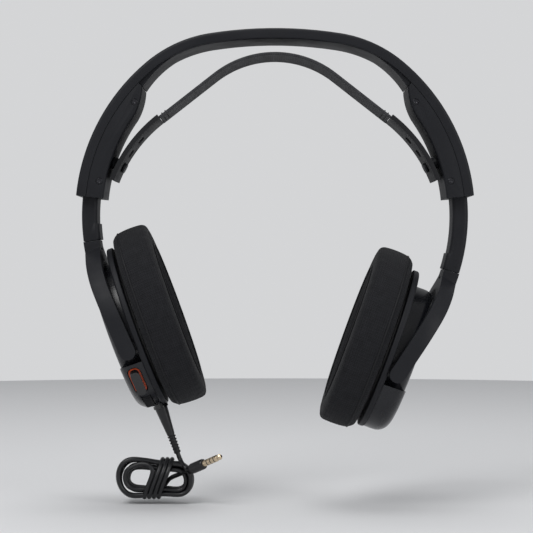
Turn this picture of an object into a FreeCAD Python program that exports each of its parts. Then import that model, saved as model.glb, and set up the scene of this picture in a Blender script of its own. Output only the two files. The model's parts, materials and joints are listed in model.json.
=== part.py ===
"""Over-ear gaming headset: arch headband, suspension strap, sliding arms, swivelling yokes, ear cups.

Frame, in millimetres: +X is the wearer's right, +Y is forward and +Z is up. The origin is the
underside of the suspension strap at the crown, where the headset rests on the head. The sliding arms
run on circles about the arch centre, which is on the Z axis below the origin.

The right side is modelled once, and the left side is the same geometry mirrored in X at its own
extension and tilt. Ear-cup parts are drawn in the cup's own axes: X outward, Y forward, Z up along
the cup, with the origin on the tilt pivot.
"""
import FreeCAD
import Part

import math
import os

from FreeCAD import Vector

# --- Arch -------------------------------------------------------------------------------------
ARCH_CENTRE_Z = -86.7      # centre of the side circles
SIDE_RADIUS = 108.0        # outer face of the shell along the sides
SHOULDER_RADIUS = 70.0     # tighter bend between crown and sides
CROWN_RADIUS = 228.0       # flat crown
SHOULDER_ANGLE = 40.0      # where the shoulder bend meets the side circle
ARCH_END_ANGLE = 84.4      # lower end of the arch
BAND_WIDTH = 34.0          # front to back
SHELL_DEPTH = 5.5          # outer shell, from its outer face to the seam
SHELL_WALL = 2.0
SHELL_EDGE_ROUND = 1.6
END_WALL_ANGLE = 1.9       # length of the closed lower end of the shell
SPRING_THICKNESS = 0.8
SPRING_WIDTH = 20.0
SPRING_END_ANGLE = 49.0
LOOSE_GAP = 0.3            # between pieces that lie side by side
COVER_THICKNESS = 1.5
COVER_STAND = 0.2          # the inner cover stands this far out of the shell at the crown
COVER_END_THICKNESS = 8.5  # whole arch thickness at the end of the inner cover
COVER_FLARE_ANGLE = 28.0   # where the inner cover starts to thicken

# --- Shoulder housing -----------------------------------------------------------------------------
HOUSING_START_ANGLE = 46.0
HOUSING_FULL_ANGLE = 55.0
HOUSING_THICKNESS = 15.0   # whole arch thickness along the housing
HOUSING_WALL = 2.0
HOUSING_EDGE_ROUND = 2.0
RAIL_THICKNESS = 2.0       # rails beside the sliding arm
SEAM_GAP = 0.15            # seam between two fitted covers
HOUSING_SCREWS = ((97.3, 51.2), (96.6, 79.1))   # radius and angle of each screw
SCREW_HEAD_RADIUS = 1.75
SCREW_HEAD_DEPTH = 1.2
SCREW_SHANK_RADIUS = 1.0
SCREW_LENGTH = 6.0
SCREW_CLEARANCE = 0.1
THREAD_CLEARANCE = 0.02

# --- Suspension strap -------------------------------------------------------------------------
STRAP_WIDTH = 35.0
STRAP_THICKNESS = 1.8
STRAP_CROWN_RADIUS = 52.0
STRAP_SLOPE = 38.0         # degrees below level along the straight stretch
STRAP_STRAIGHT = 38.1
STRAP_END_RADIUS = 78.0
STRAP_END_THICKNESS = 2.5
STRAP_END_ANGLE = 69.0
STRAP_SLOT_ANGLES = (49.5, 56.1, 62.7)
STRAP_SLOT_LENGTH = 10.0
STRAP_SLOT_WIDTH = 4.4
PEG_LENGTH = 8.0           # along the slot
PEG_WIDTH = 3.4
PEG_HEAD_OVERHANG = 1.1
PEG_HEAD_THICKNESS = 1.4
PEG_BOSS_OVERHANG = 1.6

# --- Sliding arm ------------------------------------------------------------------------------
ARM_THICKNESS = 8.5
ARM_WIDTH = 20.0
ARM_OUTER_GAP = 0.9        # between the arm and the shell's outer wall
ARM_ANGLE = 32.7           # length of the arm
ARM_ROUND = 2.4
ARM_STEP = 0.9             # the lower end is this much thicker on its inner side
ARM_STEP_ANGLE = 5.2
ARM_SIDE_GAP = 0.3
RIGHT_SEAM_ANGLE = 107.5   # lower end of the right arm as it stands
LEFT_SEAM_ANGLE = 97.8     # lower end of the left arm as it stands
RETRACTED_SEAM_ANGLE = 86.0
DETENT_ANGLE = 5.0
DETENT_WIDTH = 12.0

# --- Yoke and swivel --------------------------------------------------------------------------
SWIVEL_GAP = 0.3
SWIVEL_PIN_RADIUS = 2.5
SWIVEL_PIN_REACH = 7.0     # into the arm, and into the yoke
SWIVEL_CLEARANCE = 0.05
CLIP_RADIUS = 3.4
CLIP_THICKNESS = 0.8
CLIP_GROOVE_DEPTH = 0.5
CLIP_FROM_SEAM = 4.6
YOKE_ARC_ANGLE = 16.3
YOKE_ARC_DROP = 13.2       # from the top of the drum to the end of the arc
YOKE_HUB_HALF_WIDTH = 10.0
YOKE_OUTER_HALF_WIDTH = 40.5
YOKE_SIDE_THICKNESS = 5.0
YOKE_END_DROP = 1.75       # centre of the rounded end, below the pivot
YOKE_CROSSBAR = 6.5
YOKE_DRUM_GAP = 2.2

# --- Ear cup ----------------------------------------------------------------------------------
RIGHT_LEAN = 20.0          # degrees from upright
LEFT_LEAN = 20.0
CUP_CENTRE = 9.2           # centre of the cup above the pivot
RIM_HALF_HEIGHT = 45.0
RIM_HALF_WIDTH = 39.0
RIM_THICKNESS = 3.3
PIVOT_ABOVE_RIM = 5.2      # from the back of the rim plate to the tilt pivot
DRUM_INSET = 8.0           # channel for the yoke, all round the upper drum
SHELL_TOP = 7.7            # outer face of the cup shell
CUP_WALL = 2.0
DRUM_ROUND = 6.5
SKIRT_INSET = 0.5
SKIRT_TOP = -9.0           # top of the full-width lower part of the cup shell
SKIRT_ROUND = 7.5
PIVOT_PIN_RADIUS = 2.5
PIVOT_CLEARANCE = 0.05
PIVOT_BOSS_RADIUS = 5.0
PIVOT_BOSS_GAP = 0.7
PIVOT_PIN_CAP = 1.6        # wall of the yoke outside the pin
PIVOT_RELIEF_RADIUS = 8.0

RIM_OPENING_INSET = 14.0
LEDGE = 2.0
BAFFLE_THICKNESS = 2.0
FIT_GAP = 0.2
DRIVER_RADIUS = 20.3
DRIVER_WALL = 1.7
DRIVER_FLANGE = 1.7
DRIVER_DEPTH = 3.9
MAGNET_RADIUS = 12.0
MAGNET_DEPTH = 4.9
DIAPHRAGM_THICKNESS = 0.4
CUP_SCREW_ANGLES = (48.0, 120.0, 240.0, 312.0)
CUP_SCREW_HEAD_RADIUS = 1.9
CUP_SCREW_LENGTH = 8.0
CUP_SCREW_BOSS_RADIUS = 2.4

CUSHION_HALF_HEIGHT = 50.0
CUSHION_HALF_WIDTH = 43.5
CUSHION_FACE = -30.0
EAR_HALF_HEIGHT = 30.0
EAR_HALF_WIDTH = 20.5
CUSHION_ROUND = 6.5
SCRIM_THICKNESS = 1.2

# --- Controls, microphone and board of the left cup -------------------------------------------
BUTTON_ANGLE = 231.0       # round the cup, from up towards the front
BUTTON_LENGTH = 16.0
BUTTON_WIDTH = 5.0
BUTTON_PROUD = 1.9
BUTTON_DEPTH = 4.0
BUTTON_U = 0.8
BUTTON_CAP_GAP = 0.3
MUTE_SWITCH_LENGTH = 5.5
SKIRT_RING = 0.9           # accent skirt round the button cap
WHEEL_RADIUS = 8.0
WHEEL_THICKNESS = 4.4
WHEEL_ANGLE = 204.0
WHEEL_PROUD = 2.2
WHEEL_U = 0.2
WHEEL_GAP = 0.5
AXLE_RADIUS = 1.2
AXLE_CLEARANCE = 0.05
AXLE_BOSS_RADIUS = 2.6
BOARD_THICKNESS = 1.2
BOARD_U = 2.4
BOARD_HALF_WIDTH = 8.0
BOARD_TOP = -9.0
BOARD_FOOT = 12.8          # from the bottom of the cup to the board
MIC_U = 2.2
MIC_RADIUS = 2.2
MIC_EXIT_ANGLE = 140.0
MIC_SLOPE = 18.0           # the boom's lean forward, going down
MIC_LENGTH = 52.0
MIC_TIP_LENGTH = 9.0
MIC_TIP_RADIUS = 3.4
MIC_BUSH_WALL = 1.2
MIC_CLEARANCE = 0.1

# --- Cable ------------------------------------------------------------------------------------
JACK_U = -3.6
JACK_RADIUS = 3.5
JACK_LENGTH = 11.5
JACK_FLANGE_RADIUS = 4.15
JACK_FLANGE = 1.5
JACK_BORE = 1.8
PLUG_RADIUS = 1.75
CONNECTOR_LENGTH = 15.8
CONNECTOR_RADIUS = 3.5
CONNECTOR_END_RADIUS = 2.1
CONNECTOR_PIN = 9.5
BOOT_LENGTH = 10.6
BOOT_RADIUS = 1.9
BOOT_RIDGE = 0.5
BOOT_RIDGES = 5
CORD_DIAMETER = 2.5
HANK_CENTRE = (-65.6, 0.0, -230.2)
HANK_HALF_LENGTH = 21.5
HANK_HALF_HEIGHT = 14.0
HANK_DEPTH = 18.0
HANK_ROUND = 6.0
TAIL_LENGTH = 7.0          # from inside the hank to the plug's grip
PLUG_START = (-47.0, -7.0, -225.5)
PLUG_DIRECTION = (0.678, -0.643, 0.354)
GRIP_LENGTH = 13.0
GRIP_RADIUS = 2.9
PLUG_LENGTH = 14.0

# --- Derived sizes ----------------------------------------------------------------------------
SHOULDER_X = (SIDE_RADIUS - SHOULDER_RADIUS) * math.sin(math.radians(SHOULDER_ANGLE))
SHOULDER_Z = ARCH_CENTRE_Z + (SIDE_RADIUS - SHOULDER_RADIUS) * math.cos(math.radians(SHOULDER_ANGLE))
CROWN_ANGLE = math.degrees(math.asin(SHOULDER_X / (CROWN_RADIUS - SHOULDER_RADIUS)))
CROWN_Z = SHOULDER_Z - (CROWN_RADIUS - SHOULDER_RADIUS) * math.cos(math.radians(CROWN_ANGLE))
SEAM_RADIUS = SIDE_RADIUS - SHELL_DEPTH
HOUSING_INNER_RADIUS = SIDE_RADIUS - HOUSING_THICKNESS
ARM_OUTER_RADIUS = SIDE_RADIUS - SHELL_WALL - ARM_OUTER_GAP
ARM_INNER_RADIUS = ARM_OUTER_RADIUS - ARM_THICKNESS
ARM_MID_RADIUS = (ARM_OUTER_RADIUS + ARM_INNER_RADIUS) / 2
RIM_BACK = -PIVOT_ABOVE_RIM
RIM_FACE = RIM_BACK - RIM_THICKNESS
DRUM_HALF_HEIGHT = RIM_HALF_HEIGHT - DRUM_INSET
DRUM_HALF_WIDTH = RIM_HALF_WIDTH - DRUM_INSET
YOKE_INNER_HALF_WIDTH = YOKE_OUTER_HALF_WIDTH - YOKE_SIDE_THICKNESS
YOKE_STRAIGHT = CUP_CENTRE + DRUM_HALF_HEIGHT - YOKE_ARC_DROP
CAVITY_TOP = SHELL_TOP - CUP_WALL
BOARD_BOTTOM = CUP_CENTRE - RIM_HALF_HEIGHT + BOARD_FOOT
JACK_TOP = CUP_CENTRE - RIM_HALF_HEIGHT + SKIRT_INSET + JACK_LENGTH
JACK_FOOT = CUP_CENTRE - RIM_HALF_HEIGHT - 0.1


# --- Helpers ----------------------------------------------------------------------------------
def polar(radius, angle, y=0.0):
    """A point at an angle from up, turning towards +X, about the arch centre."""
    turn = math.radians(angle)
    return Vector(radius * math.sin(turn), y, ARCH_CENTRE_Z + radius * math.cos(turn))


def arc_through(*points):
    return Part.Arc(*points).toShape()


def line(start, end):
    return Part.LineSegment(start, end).toShape()


def face_of(edges):
    return Part.Face(Part.Wire(Part.__sortEdges__(edges)))


def sector(inner, outer, start, end, low_y, high_y):
    """A slab between two circles about the arch centre."""
    middle = (start + end) / 2
    edges = [
        arc_through(*(polar(outer, a, low_y) for a in (start, middle, end))),
        line(polar(outer, end, low_y), polar(inner, end, low_y)),
        arc_through(*(polar(inner, a, low_y) for a in (end, middle, start))),
        line(polar(inner, start, low_y), polar(outer, start, low_y)),
    ]
    return face_of(edges).extrude(Vector(0, high_y - low_y, 0))


def mirrored(shape):
    return shape.mirror(Vector(0, 0, 0), Vector(1, 0, 0))


def cylinder(radius, start, end):
    """A round bar between two points."""
    return Part.makeCylinder(radius, (end - start).Length, start, end - start)


def cone(start_radius, end_radius, start, end):
    return Part.makeCone(start_radius, end_radius, (end - start).Length, start, end - start)


def box(low, high):
    size = Vector(*high) - Vector(*low)
    return Part.makeBox(size.x, size.y, size.z, Vector(*low))


def rounded(shape, radius, wanted):
    """Fillets the edges for which wanted(edge) is true."""
    return shape.makeFillet(radius, [edge for edge in shape.Edges if wanted(edge)])


# --- Headband ---------------------------------------------------------------------------------
def profile_arc(angle):
    """Centre and radius of the outer profile's arc at a normal angle."""
    size = abs(angle)
    if size <= CROWN_ANGLE:
        return Vector(0, 0, CROWN_Z), CROWN_RADIUS
    if size <= SHOULDER_ANGLE:
        return Vector(math.copysign(SHOULDER_X, angle), 0, SHOULDER_Z), SHOULDER_RADIUS
    return Vector(0, 0, ARCH_CENTRE_Z), SIDE_RADIUS


def profile_point(depth, angle, y, arc_angle=None):
    """A point of the profile that lies depth inside the outer face."""
    centre, radius = profile_arc(angle if arc_angle is None else arc_angle)
    turn = math.radians(angle)
    reach = radius - depth
    return centre + Vector(reach * math.sin(turn), y, reach * math.cos(turn))


def profile_edges(depth, start, end, y):
    joins = (-SHOULDER_ANGLE, -CROWN_ANGLE, CROWN_ANGLE, SHOULDER_ANGLE)
    angles = [start] + [a for a in joins if start < a < end] + [end]
    edges = []
    for low, high in zip(angles, angles[1:]):
        middle = (low + high) / 2
        edges.append(arc_through(*(profile_point(depth, a, y, middle) for a in (low, middle, high))))
    return edges


def arch_band(outer_depth, inner_depth, end_angle, width):
    """A strip that follows the arch between two depths."""
    y = -width / 2
    edges = profile_edges(outer_depth, -end_angle, end_angle, y)
    edges += profile_edges(inner_depth, -end_angle, end_angle, y)
    for side in (-end_angle, end_angle):
        edges.append(line(profile_point(outer_depth, side, y), profile_point(inner_depth, side, y)))
    return face_of(edges).extrude(Vector(0, width, 0))


def headband_shell():
    body = arch_band(0, SHELL_DEPTH, ARCH_END_ANGLE, BAND_WIDTH)

    def outer_rim(edge):
        middle = edge.valueAt((edge.FirstParameter + edge.LastParameter) / 2)
        along = abs(abs(middle.y) - BAND_WIDTH / 2) < 1e-6 and edge.Length > SHELL_DEPTH + 1
        depths = [centre_radius - Vector(middle.x - c.x, 0, middle.z - c.z).Length
                  for c, centre_radius in (profile_arc(0), profile_arc(math.copysign(20, middle.x)),
                                           profile_arc(60))]
        return along and min(abs(depth) for depth in depths) < 1e-3

    body = rounded(body, SHELL_EDGE_ROUND, outer_rim)
    pocket_width = BAND_WIDTH - 2 * SHELL_WALL
    body = body.cut(arch_band(SHELL_WALL, SHELL_DEPTH + 1, ARCH_END_ANGLE - END_WALL_ANGLE, pocket_width))
    half = ARM_WIDTH / 2 + ARM_SIDE_GAP
    slot = sector(SEAM_RADIUS - 1, ARM_OUTER_RADIUS + ARM_SIDE_GAP, ARCH_END_ANGLE - END_WALL_ANGLE - 1,
                  ARCH_END_ANGLE + 1, -half, half)
    return body.cut(slot).cut(mirrored(slot))


def headband_spring():
    depth = SHELL_WALL + LOOSE_GAP
    return arch_band(depth, depth + SPRING_THICKNESS, SPRING_END_ANGLE, SPRING_WIDTH)


def headband_cover():
    width = BAND_WIDTH - 2 * SHELL_WALL - 2 * SEAM_GAP
    y = -width / 2
    inner = SHELL_DEPTH + COVER_STAND
    top = inner - COVER_THICKNESS
    end = HOUSING_START_ANGLE - SEAM_GAP
    middle = (COVER_FLARE_ANGLE + end) / 2
    swell = inner + (COVER_END_THICKNESS - inner) * 0.3
    edges = profile_edges(top, -end, end, y) + profile_edges(inner, -COVER_FLARE_ANGLE, COVER_FLARE_ANGLE, y)
    for side in (-1, 1):
        tip = profile_point(COVER_END_THICKNESS, side * end, y)
        start = profile_point(inner, side * COVER_FLARE_ANGLE, y)
        edges.append(arc_through(start, profile_point(swell, side * middle, y), tip))
        edges.append(line(tip, profile_point(top, side * end, y)))
    return face_of(edges).extrude(Vector(0, width, 0))


def housing_blank():
    y = -BAND_WIDTH / 2
    start, full, end = HOUSING_START_ANGLE, HOUSING_FULL_ANGLE, ARCH_END_ANGLE
    edge_radius = SIDE_RADIUS - COVER_END_THICKNESS
    flare_angle = start + 0.4 * (full - start)
    flare_radius = edge_radius - 0.63 * (edge_radius - HOUSING_INNER_RADIUS)
    outer = SEAM_RADIUS - SEAM_GAP
    edges = [
        arc_through(*(polar(outer, a, y) for a in (start, (start + end) / 2, end))),
        line(polar(outer, end, y), polar(HOUSING_INNER_RADIUS, end, y)),
        arc_through(*(polar(HOUSING_INNER_RADIUS, a, y) for a in (end, (full + end) / 2, full))),
        arc_through(polar(HOUSING_INNER_RADIUS, full, y), polar(flare_radius, flare_angle, y),
                    polar(edge_radius, start, y)),
        line(polar(edge_radius, start, y), polar(outer, start, y)),
    ]
    blank = face_of(edges).extrude(Vector(0, BAND_WIDTH, 0))

    def inner_rim(edge):
        middle = edge.valueAt((edge.FirstParameter + edge.LastParameter) / 2)
        reach = Vector(middle.x, 0, middle.z - ARCH_CENTRE_Z).Length
        return abs(abs(middle.y) - BAND_WIDTH / 2) < 1e-6 and reach < HOUSING_INNER_RADIUS + 0.01

    return rounded(blank, HOUSING_EDGE_ROUND, inner_rim)


def peg_axis():
    """The middle of the strap end's bend and the direction of the peg."""
    slope = math.radians(STRAP_SLOPE)
    crown = Vector(STRAP_CROWN_RADIUS * math.sin(slope), 0,
                   -STRAP_CROWN_RADIUS * (1 - math.cos(slope)))
    end = crown + Vector(math.cos(slope), 0, -math.sin(slope)) * STRAP_STRAIGHT
    centre = end - Vector(math.sin(slope), 0, math.cos(slope)) * STRAP_END_RADIUS
    turn = math.radians(STRAP_SLOT_ANGLES[-1])
    return centre, Vector(math.sin(turn), 0, math.cos(turn))


def reach_to_circle(centre, direction, radius):
    """How far along a direction a circle about the arch centre lies."""
    offset = centre - Vector(0, 0, ARCH_CENTRE_Z)
    along = offset.dot(direction)
    return -along + math.sqrt(along * along - offset.dot(offset) + radius * radius)


def pill(length, width, start, end):
    """A bar from start to end with a slot-shaped section, long in Y."""
    straight = length - width
    axis = end - start
    side = axis.cross(Vector(0, 1, 0)).normalize() * (width / 2)
    reach = Vector(0, straight / 2, 0)
    tip = Vector(0, length / 2, 0)
    edges = [
        line(start + side - reach, start + side + reach),
        arc_through(start + side + reach, start + tip, start - side + reach),
        line(start - side + reach, start - side - reach),
        arc_through(start - side - reach, start - tip, start + side - reach),
    ]
    return face_of(edges).extrude(axis)


def right_housing():
    body = housing_blank()
    half = ARM_WIDTH / 2 + ARM_SIDE_GAP
    top = RETRACTED_SEAM_ANGLE - ARM_ANGLE - 0.5
    step_start = RETRACTED_SEAM_ANGLE - ARM_STEP_ANGLE - 1
    outer = SEAM_RADIUS + 1
    body = body.cut(sector(ARM_INNER_RADIUS - ARM_SIDE_GAP, outer, top, ARCH_END_ANGLE + 1, -half, half))
    floor = ARM_INNER_RADIUS - ARM_STEP - ARM_SIDE_GAP
    body = body.cut(sector(floor, outer, step_start, ARCH_END_ANGLE + 1, -half, half))
    rail = half + RAIL_THICKNESS
    wall = BAND_WIDTH / 2 - HOUSING_WALL
    low = HOUSING_FULL_ANGLE + 1
    for near, far in ((rail, wall), (-wall, -rail)):
        body = body.cut(sector(floor, outer, low, ARCH_END_ANGLE - END_WALL_ANGLE, near, far))
    back = -BAND_WIDTH / 2
    for radius, angle in HOUSING_SCREWS:
        boss = cylinder(SCREW_HEAD_RADIUS + 1, polar(radius, angle, -wall), polar(radius, angle, -rail))
        body = body.fuse(boss)
    for radius, angle in HOUSING_SCREWS:
        seat = back + SCREW_HEAD_DEPTH
        head = cylinder(SCREW_HEAD_RADIUS + SCREW_CLEARANCE, polar(radius, angle, back - 1),
                        polar(radius, angle, seat))
        shank = cylinder(SCREW_SHANK_RADIUS + THREAD_CLEARANCE, polar(radius, angle, back),
                         polar(radius, angle, -half))
        body = body.cut(head).cut(shank)
    centre, direction = peg_axis()
    wall_reach = reach_to_circle(centre, direction, HOUSING_INNER_RADIUS + HOUSING_WALL / 2)
    start = centre + direction * (STRAP_END_RADIUS + STRAP_END_THICKNESS + LOOSE_GAP)
    stop = centre + direction * wall_reach
    boss = pill(PEG_LENGTH + 2 * PEG_BOSS_OVERHANG, PEG_WIDTH + 2 * PEG_BOSS_OVERHANG, start, stop)
    hole = pill(PEG_LENGTH + 2 * THREAD_CLEARANCE, PEG_WIDTH + 2 * THREAD_CLEARANCE,
                start - direction, stop + direction * (HOUSING_WALL / 4))
    return body.fuse(boss).cut(hole).removeSplitter()


def right_housing_screws():
    back = -BAND_WIDTH / 2
    screws = []
    for radius, angle in HOUSING_SCREWS:
        seat = polar(radius, angle, back + SCREW_HEAD_DEPTH)
        head = cylinder(SCREW_HEAD_RADIUS, polar(radius, angle, back), seat)
        shank = cylinder(SCREW_SHANK_RADIUS, polar(radius, angle, back + SCREW_HEAD_DEPTH / 2),
                         polar(radius, angle, back + SCREW_LENGTH))
        screws.append(head.fuse(shank).removeSplitter())
    return Part.makeCompound(screws)


def right_detent():
    outer = SIDE_RADIUS - SHELL_WALL - 0.05
    end = ARCH_END_ANGLE - END_WALL_ANGLE - 0.5
    return sector(ARM_OUTER_RADIUS + ARM_SIDE_GAP, outer, end - DETENT_ANGLE, end,
                  -DETENT_WIDTH / 2, DETENT_WIDTH / 2)


def right_peg():
    centre, direction = peg_axis()
    wall_reach = reach_to_circle(centre, direction, HOUSING_INNER_RADIUS + HOUSING_WALL / 2)
    head_top = STRAP_END_RADIUS - LOOSE_GAP
    head_low = head_top - PEG_HEAD_THICKNESS
    shaft = pill(PEG_LENGTH, PEG_WIDTH, centre + direction * (head_low + 0.2),
                 centre + direction * wall_reach)
    head = pill(PEG_LENGTH + 2 * PEG_HEAD_OVERHANG, PEG_WIDTH + 2 * PEG_HEAD_OVERHANG,
                centre + direction * head_low, centre + direction * head_top)
    return shaft.fuse(head).removeSplitter()


# --- Suspension strap -------------------------------------------------------------------------
def suspension_strap():
    slope = math.radians(STRAP_SLOPE)
    y = -STRAP_WIDTH / 2
    down = {side: Vector(side * math.cos(slope), 0, -math.sin(slope)) * STRAP_STRAIGHT for side in (-1, 1)}

    def crown_point(lift, angle):
        reach = STRAP_CROWN_RADIUS + lift
        return Vector(reach * math.sin(angle), y, reach * math.cos(angle) - STRAP_CROWN_RADIUS)

    edges = [arc_through(*(crown_point(lift, a) for a in (-slope, 0, slope)))
             for lift in (0, STRAP_THICKNESS)]
    for side in (-1, 1):
        low, high = (crown_point(lift, side * slope) for lift in (0, STRAP_THICKNESS))
        edges.append(line(low, low + down[side]))
        edges.append(line(low + down[side], high + down[side]))
        edges.append(line(high + down[side], high))
    return face_of(edges).extrude(Vector(0, STRAP_WIDTH, 0))


def right_strap_end():
    centre, _ = peg_axis()
    y = -STRAP_WIDTH / 2

    def bend_point(reach, angle):
        turn = math.radians(angle)
        return centre + Vector(reach * math.sin(turn), y, reach * math.cos(turn))

    inner, outer = STRAP_END_RADIUS, STRAP_END_RADIUS + STRAP_END_THICKNESS
    start, end = STRAP_SLOPE, STRAP_END_ANGLE
    angles = (start, (start + end) / 2, end)
    edges = [arc_through(*(bend_point(reach, a) for a in angles)) for reach in (inner, outer)]
    edges += [line(bend_point(inner, a), bend_point(outer, a)) for a in (start, end)]
    body = face_of(edges).extrude(Vector(0, STRAP_WIDTH, 0))
    for angle in STRAP_SLOT_ANGLES:
        turn = math.radians(angle)
        direction = Vector(math.sin(turn), 0, math.cos(turn))
        slot = pill(STRAP_SLOT_LENGTH, STRAP_SLOT_WIDTH, centre + direction * (inner - 1),
                    centre + direction * (outer + 1))
        body = body.cut(slot)
    return body


# --- Sliding arm and yoke ---------------------------------------------------------------------
def arm_piece(inner, start, end):
    half = ARM_WIDTH / 2
    piece = sector(inner, ARM_OUTER_RADIUS, start, end, -half, half)

    def along(edge):
        middle = edge.valueAt((edge.FirstParameter + edge.LastParameter) / 2)
        return abs(abs(middle.y) - half) < 1e-6 and isinstance(edge.Curve, Part.Circle)

    return rounded(piece, ARM_ROUND, along)


def seam_frame(seam_angle):
    """The middle of the arm's lower end and the direction that it points in."""
    turn = math.radians(seam_angle)
    return polar(ARM_MID_RADIUS, seam_angle), Vector(math.cos(turn), 0, -math.sin(turn))


def slider(seam_angle):
    step = seam_angle - ARM_STEP_ANGLE
    body = arm_piece(ARM_INNER_RADIUS, seam_angle - ARM_ANGLE, step)
    body = body.fuse(arm_piece(ARM_INNER_RADIUS - ARM_STEP, step, seam_angle))
    seam, down = seam_frame(seam_angle)
    hole = cylinder(SWIVEL_PIN_RADIUS + THREAD_CLEARANCE, seam - down * SWIVEL_PIN_REACH, seam + down)
    return body.cut(hole).removeSplitter()


def swivel_pin(seam_angle):
    seam, down = seam_frame(seam_angle)
    end = seam + down * SWIVEL_PIN_REACH
    pin = cylinder(SWIVEL_PIN_RADIUS, seam - down * (SWIVEL_PIN_REACH - 0.2), end)
    groove_start = seam + down * (CLIP_FROM_SEAM - 0.05)
    groove_end = groove_start + down * (CLIP_THICKNESS + 0.1)
    groove = cylinder(SWIVEL_PIN_RADIUS + 1, groove_start, groove_end)
    core = cylinder(SWIVEL_PIN_RADIUS - CLIP_GROOVE_DEPTH, groove_start, groove_end)
    return pin.cut(groove.cut(core))


def swivel_clip(seam_angle):
    seam, down = seam_frame(seam_angle)
    start = seam + down * CLIP_FROM_SEAM
    end = start + down * CLIP_THICKNESS
    hole = cylinder(SWIVEL_PIN_RADIUS - CLIP_GROOVE_DEPTH + 0.1, start - down, end + down)
    return cylinder(CLIP_RADIUS, start, end).cut(hole)


def yoke_pivot(seam_angle):
    """Where the tilt pivot is, and how far the yoke's straight part leans."""
    bend = seam_angle + YOKE_ARC_ANGLE
    turn = math.radians(bend)
    down = Vector(math.cos(turn), 0, -math.sin(turn))
    return polar(ARM_MID_RADIUS, bend) + down * YOKE_STRAIGHT, bend - 90


def place_at_pivot(shape, seam_angle, lean):
    """Moves a shape from the cup's axes to the right side of the headset."""
    pivot, _ = yoke_pivot(seam_angle)
    placed = shape.copy()
    placed.rotate(Vector(0, 0, 0), Vector(0, 1, 0), lean)
    placed.translate(pivot)
    return placed


def yoke_outline():
    """The yoke seen from the side of the head, cut far above the seam."""
    outer, inner = YOKE_OUTER_HALF_WIDTH, YOKE_INNER_HALF_WIDTH
    hub = YOKE_HUB_HALF_WIDTH
    low = -YOKE_STRAIGHT
    inner_top = CUP_CENTRE + DRUM_HALF_HEIGHT + YOKE_DRUM_GAP
    outer_top = inner_top + YOKE_CROSSBAR
    u = -60.0
    far = outer_top + 40
    shoulder = outer_top - 1.5
    knee = CUP_CENTRE + 6
    right = Vector(u, outer, knee)
    edges = []
    for side in (-1, 1):
        hub_foot = Vector(u, side * hub, shoulder + 3)
        hub_side = Vector(u, side * (hub + 5), shoulder)
        bulge = Vector(u, side * (outer - 8.2), knee + 0.62 * (shoulder - knee))
        edges.append(line(Vector(u, side * outer, low), Vector(u, side * outer, right.z)))
        edges.append(arc_through(Vector(u, side * outer, right.z), bulge, hub_side))
        edges.append(line(hub_side, hub_foot))
        edges.append(line(hub_foot, Vector(u, side * hub, far)))
        edges.append(line(Vector(u, side * outer, low), Vector(u, side * inner, low)))
        edges.append(line(Vector(u, side * inner, low), Vector(u, side * inner, CUP_CENTRE)))
    edges.append(line(Vector(u, -hub, far), Vector(u, hub, far)))
    reach = inner_top - CUP_CENTRE
    centre = Vector(u, 0, CUP_CENTRE)
    ellipse = Part.Ellipse(centre + Vector(0, 0, reach), centre + Vector(0, inner, 0), centre)
    half_turn = Part.ArcOfEllipse(ellipse, -math.pi / 2, math.pi / 2).toShape()
    edges.append(half_turn)
    return face_of(edges).extrude(Vector(120, 0, 0))


def yoke(seam_angle):
    pivot, lean = yoke_pivot(seam_angle)
    bend = seam_angle + YOKE_ARC_ANGLE
    start = seam_angle + math.degrees(SWIVEL_GAP / ARM_MID_RADIUS)
    y = -YOKE_OUTER_HALF_WIDTH - 1
    half = ARM_THICKNESS / 2
    turn = math.radians(bend)
    down = Vector(math.cos(turn), 0, -math.sin(turn))
    out = Vector(math.sin(turn), 0, math.cos(turn))
    tip = Vector(pivot.x, y, pivot.z) + down * YOKE_END_DROP
    middle = (start + bend) / 2
    edges = [
        arc_through(*(polar(ARM_OUTER_RADIUS, a, y) for a in (start, middle, bend))),
        line(polar(ARM_OUTER_RADIUS, bend, y), tip + out * half),
        arc_through(tip + out * half, tip + down * half, tip - out * half),
        line(tip - out * half, polar(ARM_INNER_RADIUS, bend, y)),
        arc_through(*(polar(ARM_INNER_RADIUS, a, y) for a in (bend, middle, start))),
        line(polar(ARM_INNER_RADIUS, start, y), polar(ARM_OUTER_RADIUS, start, y)),
    ]
    profile = face_of(edges).extrude(Vector(0, -2 * y, 0))
    body = profile.common(place_at_pivot(yoke_outline(), seam_angle, lean))
    for side in (-1, 1):
        inside = Vector(0, side * (YOKE_INNER_HALF_WIDTH - 1), 0)
        outside = Vector(0, side * (YOKE_OUTER_HALF_WIDTH - PIVOT_PIN_CAP + 0.2), 0)
        body = body.cut(cylinder(PIVOT_PIN_RADIUS + THREAD_CLEARANCE, pivot + inside, pivot + outside))
    seam, down = seam_frame(seam_angle)
    body = body.cut(cylinder(SWIVEL_PIN_RADIUS + SWIVEL_CLEARANCE, seam - down,
                             seam + down * (SWIVEL_PIN_REACH + 0.5)))
    side = CLIP_RADIUS + FIT_GAP
    pocket = box((-ARM_THICKNESS, -side, -CLIP_THICKNESS - FIT_GAP), (side, side, FIT_GAP))
    pocket.rotate(Vector(0, 0, 0), Vector(0, 1, 0), seam_angle - 90)
    pocket.translate(seam + down * CLIP_FROM_SEAM)
    return body.cut(pocket)


def pivot_pins(seam_angle):
    pivot, _ = yoke_pivot(seam_angle)
    inside = DRUM_HALF_WIDTH - CUP_WALL
    outside = YOKE_OUTER_HALF_WIDTH - PIVOT_PIN_CAP
    pins = [cylinder(PIVOT_PIN_RADIUS, pivot + Vector(0, side * inside, 0),
                     pivot + Vector(0, side * outside, 0))
            for side in (-1, 1)]
    return Part.makeCompound(pins)


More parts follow.
